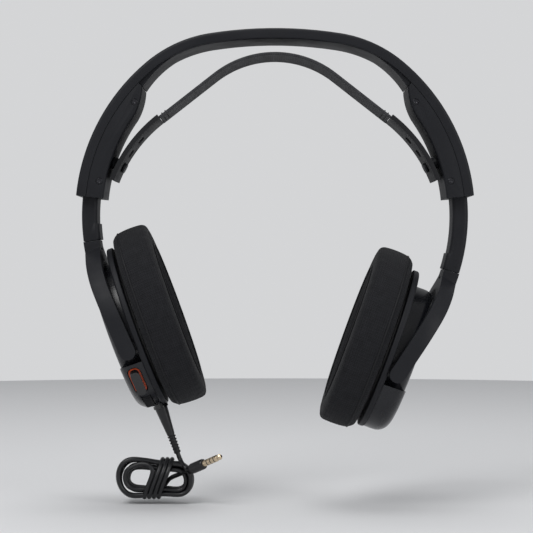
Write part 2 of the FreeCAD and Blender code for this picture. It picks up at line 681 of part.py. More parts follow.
# --- Ear cup, in the cup's own axes -----------------------------------------------------------
def oval(half_height, half_width, start, end, round_start=0.0, round_end=0.0):
    """An oval disc centred on the cup, from one depth to another, with rounded rims."""
    centre = Vector(start, 0, CUP_CENTRE)
    outline = Part.Ellipse(centre + Vector(0, 0, half_height), centre + Vector(0, half_width, 0), centre)
    disc = Part.Face(Part.Wire(outline.toShape())).extrude(Vector(end - start, 0, 0))
    for depth, radius in ((start, round_start), (end, round_end)):
        if radius > 0:
            rim = [e for e in disc.Edges
                   if abs(e.BoundBox.XMin - depth) < 1e-3 and abs(e.BoundBox.XMax - depth) < 1e-3]
            disc = disc.makeFillet(radius, rim)
    return disc


def oval_point(half_height, half_width, angle, u):
    """A point round the cup, at an angle from up that turns towards the front."""
    turn = math.radians(angle)
    return Vector(u, half_width * math.sin(turn), CUP_CENTRE + half_height * math.cos(turn))


def oval_normal(half_height, half_width, angle):
    turn = math.radians(angle)
    return Vector(0, math.sin(turn) / half_width, math.cos(turn) / half_height).normalize()


def skirt_region(inset, top):
    """The full-width lower part of the cup shell."""
    low = box((RIM_BACK - 5, -60, -80), (SHELL_TOP + 5, 60, top))
    body = oval(RIM_HALF_HEIGHT - SKIRT_INSET - inset, RIM_HALF_WIDTH - SKIRT_INSET - inset,
                RIM_BACK - (1 if inset else 0), SHELL_TOP - inset, 0, SKIRT_ROUND - inset)
    return body.common(low)


def drum_region(inset):
    return oval(DRUM_HALF_HEIGHT - inset, DRUM_HALF_WIDTH - inset, RIM_BACK - (1 if inset else 0),
                SHELL_TOP - inset, 0, DRUM_ROUND - inset)


def cup_screw_seats(u):
    half_height = DRUM_HALF_HEIGHT - CUP_SCREW_BOSS_RADIUS
    half_width = DRUM_HALF_WIDTH - CUP_SCREW_BOSS_RADIUS
    return [oval_point(half_height, half_width, angle, u) for angle in CUP_SCREW_ANGLES]


def cup_shell():
    body = drum_region(0).fuse(skirt_region(0, SKIRT_TOP))
    relief = cylinder(PIVOT_RELIEF_RADIUS, Vector(0, -60, 0), Vector(0, 60, 0))
    core = box((-60, -DRUM_HALF_WIDTH, -60), (60, DRUM_HALF_WIDTH, 60))
    body = body.cut(relief.cut(core))
    hollow = drum_region(CUP_WALL).fuse(skirt_region(CUP_WALL, SKIRT_TOP - CUP_WALL))
    body = body.cut(hollow)
    boss_end = YOKE_INNER_HALF_WIDTH - PIVOT_BOSS_GAP
    boss_start = DRUM_HALF_WIDTH - CUP_WALL - 1.5
    for side in (-1, 1):
        boss = cylinder(PIVOT_BOSS_RADIUS, Vector(0, side * boss_start, 0), Vector(0, side * boss_end, 0))
        body = body.fuse(boss)
    for seat in cup_screw_seats(RIM_BACK):
        top = seat + Vector(CAVITY_TOP - RIM_BACK + 0.5, 0, 0)
        body = body.fuse(cylinder(CUP_SCREW_BOSS_RADIUS, seat, top))
    keep = drum_region(0).fuse(skirt_region(0, SKIRT_TOP))
    bosses = cylinder(PIVOT_BOSS_RADIUS, Vector(0, -boss_end, 0), Vector(0, boss_end, 0))
    body = body.common(keep.fuse(bosses))
    for side in (-1, 1):
        body = body.cut(cylinder(PIVOT_PIN_RADIUS + PIVOT_CLEARANCE, Vector(0, side * (boss_start - 1), 0),
                                 Vector(0, side * (boss_end + 1), 0)))
    for seat in cup_screw_seats(RIM_BACK):
        body = body.cut(cylinder(SCREW_SHANK_RADIUS + THREAD_CLEARANCE, seat - Vector(1, 0, 0),
                                 seat + Vector(CUP_SCREW_LENGTH, 0, 0)))
    return body


def board_post_places():
    middle = (BOARD_TOP + BOARD_BOTTOM) / 2
    return [Vector(BOARD_U + BOARD_THICKNESS, side * (BOARD_HALF_WIDTH - 2), middle) for side in (-1, 1)]


def left_cup_shell():
    """The left shell also holds the controls, the jack, the board and the microphone."""
    body = cup_shell()
    for post in board_post_places():
        body = body.fuse(cylinder(1.5, post, Vector(CAVITY_TOP + 0.5, post.y, post.z)))
    body = body.cut(button_cutter()).cut(wheel_cutter())
    body = body.fuse(wheel_bar(AXLE_BOSS_RADIUS, WHEEL_U + WHEEL_THICKNESS / 2 + WHEEL_GAP, CAVITY_TOP + 0.5))
    body = body.cut(wheel_bar(AXLE_RADIUS + AXLE_CLEARANCE, RIM_BACK, CAVITY_TOP + 0.3))
    start, down = mic_axis()
    wall = MIC_RADIUS + MIC_CLEARANCE + MIC_BUSH_WALL + THREAD_CLEARANCE
    body = body.cut(cylinder(wall, start - down * 6, start + down * 12))
    return body.cut(jack_cutter())


def cup_rim():
    plate = oval(RIM_HALF_HEIGHT, RIM_HALF_WIDTH, RIM_FACE, RIM_BACK, 0.6, 1.0)
    inset = RIM_OPENING_INSET
    step = RIM_FACE + BAFFLE_THICKNESS + 0.1
    plate = plate.cut(oval(RIM_HALF_HEIGHT - inset, RIM_HALF_WIDTH - inset, RIM_FACE - 1, step))
    inset += LEDGE
    plate = plate.cut(oval(RIM_HALF_HEIGHT - inset, RIM_HALF_WIDTH - inset, RIM_FACE - 1, RIM_BACK + 1))
    for seat in cup_screw_seats(RIM_FACE):
        head = cylinder(CUP_SCREW_HEAD_RADIUS + SCREW_CLEARANCE, seat - Vector(1, 0, 0),
                        seat + Vector(SCREW_HEAD_DEPTH + 0.1, 0, 0))
        shank = cylinder(SCREW_SHANK_RADIUS + SCREW_CLEARANCE, seat, seat + Vector(RIM_THICKNESS + 1, 0, 0))
        plate = plate.cut(head).cut(shank)
    return plate


def left_cup_rim():
    """The left rim also carries the inner end of the volume wheel's axle."""
    body = cup_rim().cut(jack_cutter())
    body = body.fuse(wheel_bar(AXLE_BOSS_RADIUS, RIM_BACK - 0.5, WHEEL_U - WHEEL_THICKNESS / 2 - WHEEL_GAP))
    return body.cut(wheel_bar(AXLE_RADIUS + AXLE_CLEARANCE, RIM_BACK, SHELL_TOP))


def cup_screws():
    screws = []
    for seat in cup_screw_seats(RIM_FACE + 0.05):
        head = cylinder(CUP_SCREW_HEAD_RADIUS, seat, seat + Vector(SCREW_HEAD_DEPTH, 0, 0))
        shank = cylinder(SCREW_SHANK_RADIUS, seat + Vector(0.5, 0, 0), seat + Vector(CUP_SCREW_LENGTH, 0, 0))
        screws.append(head.fuse(shank).removeSplitter())
    return Part.makeCompound(screws)


def baffle():
    inset = RIM_OPENING_INSET + FIT_GAP
    plate = oval(RIM_HALF_HEIGHT - inset, RIM_HALF_WIDTH - inset, RIM_FACE, RIM_FACE + BAFFLE_THICKNESS)
    centre = Vector(RIM_FACE - 1, 0, CUP_CENTRE)
    return plate.cut(cylinder(DRIVER_RADIUS + FIT_GAP, centre, centre + Vector(BAFFLE_THICKNESS + 2, 0, 0)))


def along_driver(radius, start, end):
    return cylinder(radius, Vector(start, 0, CUP_CENTRE), Vector(end, 0, CUP_CENTRE))


def driver_frame():
    start = RIM_FACE + 0.2
    end = start + DRIVER_DEPTH
    behind = RIM_FACE + BAFFLE_THICKNESS + 0.1
    body = along_driver(DRIVER_RADIUS, start, end)
    body = body.fuse(along_driver(DRIVER_RADIUS + DRIVER_FLANGE, behind, behind + 1.0))
    body = body.cut(along_driver(DRIVER_RADIUS - DRIVER_WALL, start - 1, end - 1.0))
    return body.cut(along_driver(MAGNET_RADIUS + 0.1, start - 1, end + 1)).removeSplitter()


def driver_magnet():
    start = RIM_FACE + 0.2 + DRIVER_DEPTH - 1.0
    return along_driver(MAGNET_RADIUS, start, start + MAGNET_DEPTH)


def driver_diaphragm():
    start = RIM_FACE + 1.0
    return along_driver(DRIVER_RADIUS - DRIVER_WALL - 0.1, start, start + DIAPHRAGM_THICKNESS)


def ear_cushion():
    back = RIM_FACE - LOOSE_GAP
    body = oval(CUSHION_HALF_HEIGHT, CUSHION_HALF_WIDTH, CUSHION_FACE, back, CUSHION_ROUND, 3.0)
    return body.cut(oval(EAR_HALF_HEIGHT, EAR_HALF_WIDTH, CUSHION_FACE - 1, back + 1))


def ear_scrim():
    back = RIM_FACE - LOOSE_GAP
    return oval(EAR_HALF_HEIGHT - 0.6, EAR_HALF_WIDTH - 0.6, back - SCRIM_THICKNESS, back)


# --- Left cup's controls, in the cup's own axes -----------------------------------------------
def button_frame():
    half_height, half_width = RIM_HALF_HEIGHT - SKIRT_INSET, RIM_HALF_WIDTH - SKIRT_INSET
    return (oval_point(half_height, half_width, BUTTON_ANGLE, BUTTON_U),
            oval_normal(half_height, half_width, BUTTON_ANGLE))


def button_block(length, width, inner, outer):
    """A pill-ended block on the cup's wall, from one height to another along the wall's normal."""
    centre, out = button_frame()
    along = Vector(1, 0, 0).cross(out).normalize()
    across = Vector(width / 2, 0, 0)
    reach = along * ((length - width) / 2)
    tip = along * (length / 2)
    foot = centre + out * inner
    edges = [
        line(foot + across - reach, foot + across + reach),
        arc_through(foot + across + reach, foot + tip, foot - across + reach),
        line(foot - across + reach, foot - across - reach),
        arc_through(foot - across - reach, foot - tip, foot + across - reach),
    ]
    return face_of(edges).extrude(out * (outer - inner))


def button_cutter():
    grow = 2 * (SKIRT_RING + BUTTON_CAP_GAP)
    return button_block(BUTTON_LENGTH + grow, BUTTON_WIDTH + grow, -CUP_WALL - 3.5, 4)


def mute_button():
    """The key cap on its stem."""
    cap = button_block(BUTTON_LENGTH, BUTTON_WIDTH, -1.0, BUTTON_PROUD)
    stem = button_block(BUTTON_LENGTH - 4, BUTTON_WIDTH - 2, -BUTTON_DEPTH, -0.9)
    return cap.fuse(stem).removeSplitter()


def mute_button_skirt():
    """The accent collar just under the cap, which shows while the button stands out."""
    grow = 2 * SKIRT_RING
    collar = button_block(BUTTON_LENGTH + grow, BUTTON_WIDTH + grow, -2.6, -1.1)
    return collar.cut(button_block(BUTTON_LENGTH - 3.8, BUTTON_WIDTH - 1.8, -6, 2))


def mute_switch():
    """The latching switch body that the button's stem pushes on, resting against the board's edge."""
    return button_block(MUTE_SWITCH_LENGTH, BUTTON_WIDTH - 0.6, -BUTTON_DEPTH - 5.5, -BUTTON_DEPTH - 1.5)


def wheel_centre():
    half_height, half_width = RIM_HALF_HEIGHT - SKIRT_INSET, RIM_HALF_WIDTH - SKIRT_INSET
    surface = oval_point(half_height, half_width, WHEEL_ANGLE, WHEEL_U)
    return surface + oval_normal(half_height, half_width, WHEEL_ANGLE) * (WHEEL_PROUD - WHEEL_RADIUS)


def wheel_bar(radius, start, end):
    centre = wheel_centre()
    return cylinder(radius, Vector(start, centre.y, centre.z), Vector(end, centre.y, centre.z))


def wheel_cutter():
    half = WHEEL_THICKNESS / 2 + WHEEL_GAP
    return wheel_bar(WHEEL_RADIUS + WHEEL_GAP, WHEEL_U - half, WHEEL_U + half)


def volume_wheel():
    half = WHEEL_THICKNESS / 2
    wheel = wheel_bar(WHEEL_RADIUS, WHEEL_U - half, WHEEL_U + half)
    axle = wheel_bar(AXLE_RADIUS, RIM_BACK + FIT_GAP, CAVITY_TOP + 0.1)
    return wheel.fuse(axle).removeSplitter()


def circuit_board():
    return box((BOARD_U, -BOARD_HALF_WIDTH, BOARD_BOTTOM),
               (BOARD_U + BOARD_THICKNESS, BOARD_HALF_WIDTH, BOARD_TOP))


def mic_axis():
    """Where the boom leaves the cup, and the direction that it slides out in."""
    half_height, half_width = RIM_HALF_HEIGHT - SKIRT_INSET, RIM_HALF_WIDTH - SKIRT_INSET
    slope = math.radians(MIC_SLOPE)
    return (oval_point(half_height, half_width, MIC_EXIT_ANGLE, MIC_U),
            Vector(0, math.sin(slope), -math.cos(slope)))


def mic_bush():
    start, down = mic_axis()
    outer = MIC_RADIUS + MIC_CLEARANCE + MIC_BUSH_WALL
    bush = cylinder(outer, start - down * 5.5, start + down * 0.8)
    return bush.cut(cylinder(MIC_RADIUS + MIC_CLEARANCE, start - down * 7, start + down * 2))


def mic_boom():
    start, down = mic_axis()
    return cylinder(MIC_RADIUS, start - down * (MIC_LENGTH - 2), start + down * 2)


def mic_capsule():
    start, down = mic_axis()
    tip = cylinder(MIC_TIP_RADIUS, start + down * 2, start + down * (2 + MIC_TIP_LENGTH))
    return tip.makeFillet(1.4, [e for e in tip.Edges if isinstance(e.Curve, Part.Circle)])


# --- Cable, in the cup's own axes down to the boot --------------------------------------------
def jack_point(v):
    return Vector(JACK_U, 0, v)


def jack_cutter():
    return cylinder(JACK_RADIUS + FIT_GAP, jack_point(JACK_FOOT - 8), jack_point(JACK_TOP + 0.2))


def jack_socket():
    body = cylinder(JACK_RADIUS, jack_point(JACK_FOOT - 0.1), jack_point(JACK_TOP))
    body = body.fuse(cylinder(JACK_FLANGE_RADIUS, jack_point(JACK_FOOT - JACK_FLANGE), jack_point(JACK_FOOT)))
    return body.cut(cylinder(JACK_BORE, jack_point(JACK_FOOT - 9), jack_point(JACK_TOP - 1))).removeSplitter()


def connector_top():
    return JACK_FOOT - JACK_FLANGE - 0.1


def cable_connector():
    top = connector_top()
    body = cone(CONNECTOR_RADIUS, CONNECTOR_END_RADIUS, jack_point(top), jack_point(top - CONNECTOR_LENGTH))
    pin = cylinder(PLUG_RADIUS, jack_point(top - 1), jack_point(top + CONNECTOR_PIN))
    return body.fuse(pin).removeSplitter()


def boot_top():
    return connector_top() - CONNECTOR_LENGTH


def boot_end():
    return boot_top() - BOOT_LENGTH


def cable_boot():
    body = cylinder(BOOT_RADIUS, jack_point(boot_top()), jack_point(boot_end()))
    pitch = BOOT_LENGTH / BOOT_RIDGES
    for index in range(BOOT_RIDGES):
        top = boot_top() - pitch * (index + 0.2)
        body = body.fuse(cylinder(BOOT_RADIUS + BOOT_RIDGE, jack_point(top), jack_point(top - pitch * 0.45)))
    return body.removeSplitter()


# --- Free cord, in the headset's axes ---------------------------------------------------------
def cord_tube(points, name):
    """A round cord along straight runs joined by tangent arcs, each as large as its runs allow."""
    edges = []
    start = points[0]
    for before, corner, after in zip(points, points[1:], points[2:]):
        into, out = (corner - before), (after - corner)
        run = min(into.Length, out.Length)
        into.normalize()
        out.normalize()
        turn = into.getAngle(out)
        cut = 0.45 * run
        radius = cut / math.tan(turn / 2)
        first, last = corner - into * cut, corner + out * cut
        bisector = (out - into).normalize()
        middle = corner + bisector * (radius / math.cos(turn / 2) - radius)
        edges.append(line(start, first))
        edges.append(arc_through(first, middle, last))
        start = last
        print(f"{name}: turn {math.degrees(turn):.1f} degrees, radius {radius:.2f} mm")
    edges.append(line(start, points[-1]))
    path = Part.Wire(edges)
    ring = Part.Wire(Part.makeCircle(CORD_DIAMETER / 2, points[0], points[1] - points[0]))
    tube = path.makePipeShell([ring], True, False)
    expected = math.pi * (CORD_DIAMETER / 2) ** 2 * path.Length
    print(f"{name}: length {path.Length:.2f} mm, volume {tube.Volume:.2f} of {expected:.2f} mm3")
    return tube


def left_boot_exit():
    """The end of the boot and the direction that the cord leaves in, on the left side."""
    marks = [place_at_pivot(Part.Vertex(jack_point(v)), LEFT_SEAM_ANGLE, LEFT_LEAN)
             for v in (boot_end(), boot_end() - 1)]
    end, beyond = (mirrored(mark).Point for mark in marks)
    return end, (beyond - end)


def cord_lead():
    start, down = left_boot_exit()
    bend = start + down * 3.2
    return cord_tube([start, bend, bend + Vector(0.4, -1.0, -3.4)], "cord_lead")


def cord_hank():
    x, y, z = HANK_CENTRE
    start = Vector(x, y - HANK_DEPTH / 2, z)
    outline = Part.Ellipse(start + Vector(HANK_HALF_LENGTH, 0, 0),
                           start + Vector(0, 0, HANK_HALF_HEIGHT), start)
    body = Part.Face(Part.Wire(outline.toShape())).extrude(Vector(0, HANK_DEPTH, 0))
    rims = [e for e in body.Edges if e.BoundBox.YLength < 1e-3]
    return body.makeFillet(HANK_ROUND, rims)


def plug_direction():
    return Vector(*PLUG_DIRECTION).normalize()


def cord_tail():
    start = Vector(*PLUG_START)
    return cord_tube([start, start - plug_direction() * TAIL_LENGTH], "cord_tail")


def plug_grip():
    start = Vector(*PLUG_START)
    return cylinder(GRIP_RADIUS, start, start + plug_direction() * GRIP_LENGTH)


def plug_shaft():
    start = Vector(*PLUG_START) + plug_direction() * GRIP_LENGTH
    return cylinder(PLUG_RADIUS, start, start + plug_direction() * PLUG_LENGTH)


# --- Assembly ---------------------------------------------------------------------------------
def side_parts(seam_angle):
    """Nodes that hang on one side's arm, in the headset's axes, on the right."""
    return {
        "slider": slider(seam_angle),
        "swivel_pin": swivel_pin(seam_angle),
        "swivel_clip": swivel_clip(seam_angle),
        "yoke": yoke(seam_angle),
        "pivot_pins": pivot_pins(seam_angle),
    }


def shared_cup_parts():
    return {
        "cup_screws": cup_screws(),
        "baffle": baffle(),
        "driver_frame": driver_frame(),
        "driver_magnet": driver_magnet(),
        "driver_diaphragm": driver_diaphragm(),
        "ear_scrim": ear_scrim(),
        "ear_cushion": ear_cushion(),
    }


def left_only_parts():
    return {
        "circuit_board": circuit_board(),
        "mute_switch": mute_switch(),
        "mute_button": mute_button(),
        "mute_button_skirt": mute_button_skirt(),
        "volume_wheel": volume_wheel(),
        "mic_bush": mic_bush(),
        "mic_boom": mic_boom(),
        "mic_capsule": mic_capsule(),
        "jack_socket": jack_socket(),
        "cable_connector": cable_connector(),
        "cable_boot": cable_boot(),
    }


def assembly():
    nodes = {
        "headband_shell": headband_shell(),
        "headband_spring": headband_spring(),
        "headband_cover": headband_cover(),
        "suspension_strap": suspension_strap(),
    }
    housing_parts = {
        "housing": right_housing(),
        "housing_screws": right_housing_screws(),
        "detent": right_detent(),
        "strap_peg": right_peg(),
        "strap_end": right_strap_end(),
    }
    for name, shape in housing_parts.items():
        nodes["right_" + name] = shape
        nodes["left_" + name] = mirrored(shape)
    for name, shape in side_parts(RIGHT_SEAM_ANGLE).items():
        nodes["right_" + name] = shape
    for name, shape in side_parts(LEFT_SEAM_ANGLE).items():
        nodes["left_" + name] = mirrored(shape)
    cup_parts = shared_cup_parts()
    right_cup = dict(cup_parts, cup_shell=cup_shell(), cup_rim=cup_rim())
    left_cup = dict(cup_parts, cup_shell=left_cup_shell(), cup_rim=left_cup_rim())
    for name, shape in right_cup.items():
        nodes["right_" + name] = place_at_pivot(shape, RIGHT_SEAM_ANGLE, RIGHT_LEAN)
    for name, shape in left_cup.items():
        nodes["left_" + name] = mirrored(place_at_pivot(shape, LEFT_SEAM_ANGLE, LEFT_LEAN))
    for name, shape in left_only_parts().items():
        nodes[name] = mirrored(place_at_pivot(shape, LEFT_SEAM_ANGLE, LEFT_LEAN))
    nodes["cord_lead"] = cord_lead()
    nodes["cord_hank"] = cord_hank()
    nodes["cord_tail"] = cord_tail()
    nodes["plug_grip"] = plug_grip()
    nodes["plug_shaft"] = plug_shaft()
    return nodes


def main():
    os.makedirs("parts", exist_ok=True)
    for name, shape in assembly().items():
        shape.exportStep(f"parts/{name}.step")
        whole = all(solid.isValid() for solid in shape.Solids)
        state = "valid" if whole else "NOT VALID"
        print(f"{name}: {len(shape.Solids)} solids, {shape.Volume:.0f} mm3, {state}")
    for side, seam in (("right", RIGHT_SEAM_ANGLE), ("left", LEFT_SEAM_ANGLE)):
        pivot, lean = yoke_pivot(seam)
        print(f"{side} tilt pivot {pivot.x:.3f} {pivot.z:.3f}, yoke leans {lean:.1f} degrees")


main()
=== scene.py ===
"""Looks of an over-ear gaming headset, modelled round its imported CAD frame. Metres, +Z up."""

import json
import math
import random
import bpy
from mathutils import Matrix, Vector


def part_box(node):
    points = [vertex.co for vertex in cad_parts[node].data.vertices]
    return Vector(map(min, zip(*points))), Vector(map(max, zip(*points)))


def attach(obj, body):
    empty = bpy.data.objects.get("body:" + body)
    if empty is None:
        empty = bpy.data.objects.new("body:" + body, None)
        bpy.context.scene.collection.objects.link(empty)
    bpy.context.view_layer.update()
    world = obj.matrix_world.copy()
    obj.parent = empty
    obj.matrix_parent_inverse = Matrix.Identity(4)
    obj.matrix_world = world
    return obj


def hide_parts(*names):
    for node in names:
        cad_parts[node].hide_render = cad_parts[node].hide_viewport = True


bl_info = {
    "name": "Gaming headset",
    "version": (1, 0, 0),
    "blender": (4, 5, 0),
    "location": "3D View > Sidebar > Headset",
    "description": "Models the finishes, padding, strap and cord of an over-ear headset",
    "category": "Object",
}

import bmesh
import bpy
from bpy.props import FloatProperty, FloatVectorProperty, IntProperty, PointerProperty
from mathutils import Matrix, Vector

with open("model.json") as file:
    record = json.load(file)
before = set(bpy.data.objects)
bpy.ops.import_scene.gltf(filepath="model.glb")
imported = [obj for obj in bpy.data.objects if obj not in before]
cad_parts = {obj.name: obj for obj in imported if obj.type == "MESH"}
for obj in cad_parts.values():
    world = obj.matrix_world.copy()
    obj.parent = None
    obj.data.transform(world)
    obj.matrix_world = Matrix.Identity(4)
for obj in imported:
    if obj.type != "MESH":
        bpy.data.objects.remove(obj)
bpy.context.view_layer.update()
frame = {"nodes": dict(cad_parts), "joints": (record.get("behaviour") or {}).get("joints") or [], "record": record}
SLOTS = {part["node"]: part["material_slot"] for part in frame["record"]["subparts"]}
SIDES = {"left": -1, "right": 1}
MM = 0.001
CAD_MERGE = 1e-5
OWN_MERGE = 1e-6


# --- Settings ---------------------------------------------------------------------------------
def length_setting(name, description, default):
    return FloatProperty(name=name, description=description, default=default, unit="LENGTH", precision=5)


def colour_setting(name, description, default):
    return FloatVectorProperty(name=name, description=description, default=default, subtype="COLOR",
                               size=3, min=0.0, max=1.0)


class HeadsetPadding(bpy.types.PropertyGroup):
    """Sizes of the soft pieces."""

    cushion_height: length_setting("Cushion height", "Height of an ear cushion's outline", 0.1026)
    cushion_width: length_setting("Cushion width", "Front-to-back width of an ear cushion's outline", 0.0862)
    ear_height: length_setting("Ear opening height", "Height of the cushion's opening", 0.0625)
    ear_width: length_setting("Ear opening width", "Width of the cushion's opening", 0.0435)
    cushion_depth: length_setting("Cushion depth", "From the rim plate to the cushion's face", 0.0230)
    swell: length_setting("Swell", "How far the foam may push the cover out", 0.0016)
    cup_lean: FloatProperty(name="Cup lean", description="How far a cup leans from upright at rest",
                            default=math.radians(20.0), subtype="ANGLE")
    cup_centre: length_setting("Cushion centre", "Centre of the cushion above its tilt pivot", 0.0106)
    strap_width: length_setting("Strap width", "Width of the elastic strap", 0.0344)
    strap_thickness: length_setting("Strap thickness", "Thickness of the elastic strap", 0.0016)
    strap_crown: length_setting("Strap crown", "Radius under the strap at the crown", 0.052)
    strap_straight: length_setting("Strap straight", "Straight stretch each side of the crown", 0.0379)
    strap_slope: FloatProperty(name="Strap slope", description="How far the straight stretches slope",
                               default=math.radians(38.0), subtype="ANGLE")


class HeadsetCord(bpy.types.PropertyGroup):
    """Sizes of the cord and of the hank that it is wound in."""

    diameter: length_setting("Diameter", "Outer diameter of the cord", 0.0025)
    turns: IntProperty(name="Turns", description="Turns in the hank", default=10, min=2)
    wraps: IntProperty(name="Wraps", description="Turns round the middle of the hank", default=3, min=1)
    loop_radius: length_setting("Loop radius", "Radius of the loops at the hank's open end", 0.0127)
    loop_centre: length_setting("Loop centre", "Middle of the open end, from the hank's centre", -0.0080)
    end_radius: length_setting("End radius", "Radius of the loops at the hank's narrow end", 0.0101)
    end_centre: length_setting("End centre", "Middle of the narrow end, from the hank's centre", 0.0102)
    pinch: FloatProperty(name="Pinch", description="How far the wraps draw the hank in", default=0.30,
                         min=0.0, max=0.6)
    waist: length_setting("Waist", "Middle of the wraps, from the hank's centre", 0.0016)
    wrap_lean: FloatProperty(name="Wrap lean", description="How far the wraps lean over", default=0.42)
    seed: IntProperty(name="Seed", description="Changes how the turns lie", default=5)


class HeadsetColours(bpy.types.PropertyGroup):
    """Colours of the finishes."""

    moulding: colour_setting("Moulding", "Matt plastic of the headband, yokes and rims",
                             (0.0128, 0.0134, 0.0162))
    drum: colour_setting("Drum", "Satin plastic of the cup shells", (0.0085, 0.0092, 0.0122))
    knit: colour_setting("Knit", "Fabric of the ear cushions", (0.0165, 0.0168, 0.0190))
    webbing: colour_setting("Webbing", "Elastic of the strap", (0.046, 0.0465, 0.050))
    rubber: colour_setting("Rubber", "Strap ends and cord", (0.0100, 0.0102, 0.0118))
    accent: colour_setting("Accent", "Collar round the mute button", (0.56, 0.078, 0.024))
    steel: colour_setting("Steel", "Pins, clips and springs", (0.52, 0.52, 0.53))
    contact: colour_setting("Contact", "Plug contacts", (0.74, 0.60, 0.42))


# --- Small helpers ----------------------------------------------------------------------------
def joint_named(name):
    return next(joint for joint in frame["joints"] if joint["name"] == name)


def new_mesh_piece(name, form, body, slot, look=None):
    """A mesh object from a bmesh, riding on a body, with its slot's finish or another one."""
    mesh = bpy.data.meshes.new(name)
    form.to_mesh(mesh)
    form.free()
    piece = bpy.data.objects.new(name, mesh)
    bpy.context.scene.collection.objects.link(piece)
    mesh.materials.append(finish(look or slot))
    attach(piece, body)
    return piece


def smooth(mesh, angle):
    """Smooth shading that keeps edges sharper than an angle."""
    form = bmesh.new()
    form.from_mesh(mesh)
    for face in form.faces:
        face.smooth = True
    for edge in form.edges:
        edge.smooth = not (len(edge.link_faces) == 2 and edge.calc_face_angle(0.0) > angle)
    form.to_mesh(mesh)
    form.free()


def cup_matrix(side):
    """Turns cup axes, X outward, Y forward and Z up along the cup, into the headset's axes."""
    padding = bpy.context.scene.headset_padding
    pivot = Vector(joint_named(side + "_tilt")["pos_m"])
    lean = Matrix.Rotation(padding.cup_lean, 4, "Y")
    mirror = Matrix.Diagonal((SIDES[side], 1, 1, 1))
    return Matrix.Translation(pivot) @ mirror @ lean


def faces_outward(form):
    bmesh.ops.remove_doubles(form, verts=form.verts, dist=OWN_MERGE)
    bmesh.ops.recalc_face_normals(form, faces=form.faces)


def spun(profile, axis, centre, steps):
    """A closed shape of revolution from (along, radius) points, spun about an axis."""
    form = bmesh.new()
    along = Vector(axis).normalized()
    side = along.orthogonal().normalized()
    points = [form.verts.new(Vector(centre) + along * a + side * r) for a, r in profile]
    edges = [form.edges.new(pair) for pair in zip(points, points[1:])]
    bmesh.ops.spin(form, geom=points + edges, cent=centre, axis=along, angle=2 * math.pi, steps=steps,
                   use_merge=True)
    faces_outward(form)
    return form


# --- Shader groups and finishes ---------------------------------------------------------------
def group_socket(group, name, kind, default=None, out=False):
    socket = group.interface.new_socket(name=name, in_out="OUTPUT" if out else "INPUT",
                                        socket_type="NodeSocket" + kind)
    if default is not None:
        socket.default_value = default
    return socket


def linked(tree, kind, settings=None, **inputs):
    """A node with some inputs linked or set by name."""
    node = tree.nodes.new(kind)
    for key, value in (settings or {}).items():
        setattr(node, key, value)
    for key, value in inputs.items():
        socket = node.inputs[int(key[1:])] if key[0] == "i" and key[1:].isdigit() else node.inputs[key]
        if isinstance(value, bpy.types.NodeSocket):
            tree.links.new(value, socket)
        else:
            socket.default_value = value
    return node


def ranged(tree, value, from_min=0.0, from_max=1.0, to_min=0.0, to_max=1.0):
    """A value carried from one range to another."""
    node = linked(tree, "ShaderNodeMapRange", Value=value)
    names = ("From Min", "From Max", "To Min", "To Max")
    for name, number in zip(names, (from_min, from_max, to_min, to_max)):
        node.inputs[name].default_value = number
    return node.outputs["Result"]


def moulding_grain():
    """Spark-eroded texture of moulded plastic, with faint handling marks."""
    group = bpy.data.node_groups.new("moulding_grain", "ShaderNodeTree")
    group_socket(group, "Vector", "Vector")
    group_socket(group, "Grain Scale", "Float", 2600.0)
    group_socket(group, "Roughness", "Float", 0.5)
    group_socket(group, "Colour", "Color", (0.02, 0.02, 0.02, 1))
    group_socket(group, "Colour", "Color", out=True)
    group_socket(group, "Roughness", "Float", out=True)
    group_socket(group, "Height", "Float", out=True)
    source = group.nodes.new("NodeGroupInput")
    sink = group.nodes.new("NodeGroupOutput")
    grain = linked(group, "ShaderNodeTexNoise", Vector=source.outputs["Vector"],
                   Scale=source.outputs["Grain Scale"], Detail=2.0, Roughness=0.6)
    handling = linked(group, "ShaderNodeTexNoise", Vector=source.outputs["Vector"], Scale=38.0, Detail=5.0,
                      Roughness=0.62, Distortion=0.6)
    wear = ranged(group, handling.outputs["Fac"], 0.35, 0.7, -0.05, 0.07)
    rough = linked(group, "ShaderNodeMath", {"operation": "ADD"}, i0=source.outputs["Roughness"], i1=wear)
    tint = linked(group, "ShaderNodeVectorMath", {"operation": "SCALE"}, i0=source.outputs["Colour"],
                  Scale=ranged(group, handling.outputs["Fac"], to_min=0.86, to_max=1.16))
    group.links.new(tint.outputs[0], sink.inputs["Colour"])
    group.links.new(rough.outputs[0], sink.inputs["Roughness"])
    group.links.new(grain.outputs["Fac"], sink.inputs["Height"])
    return group


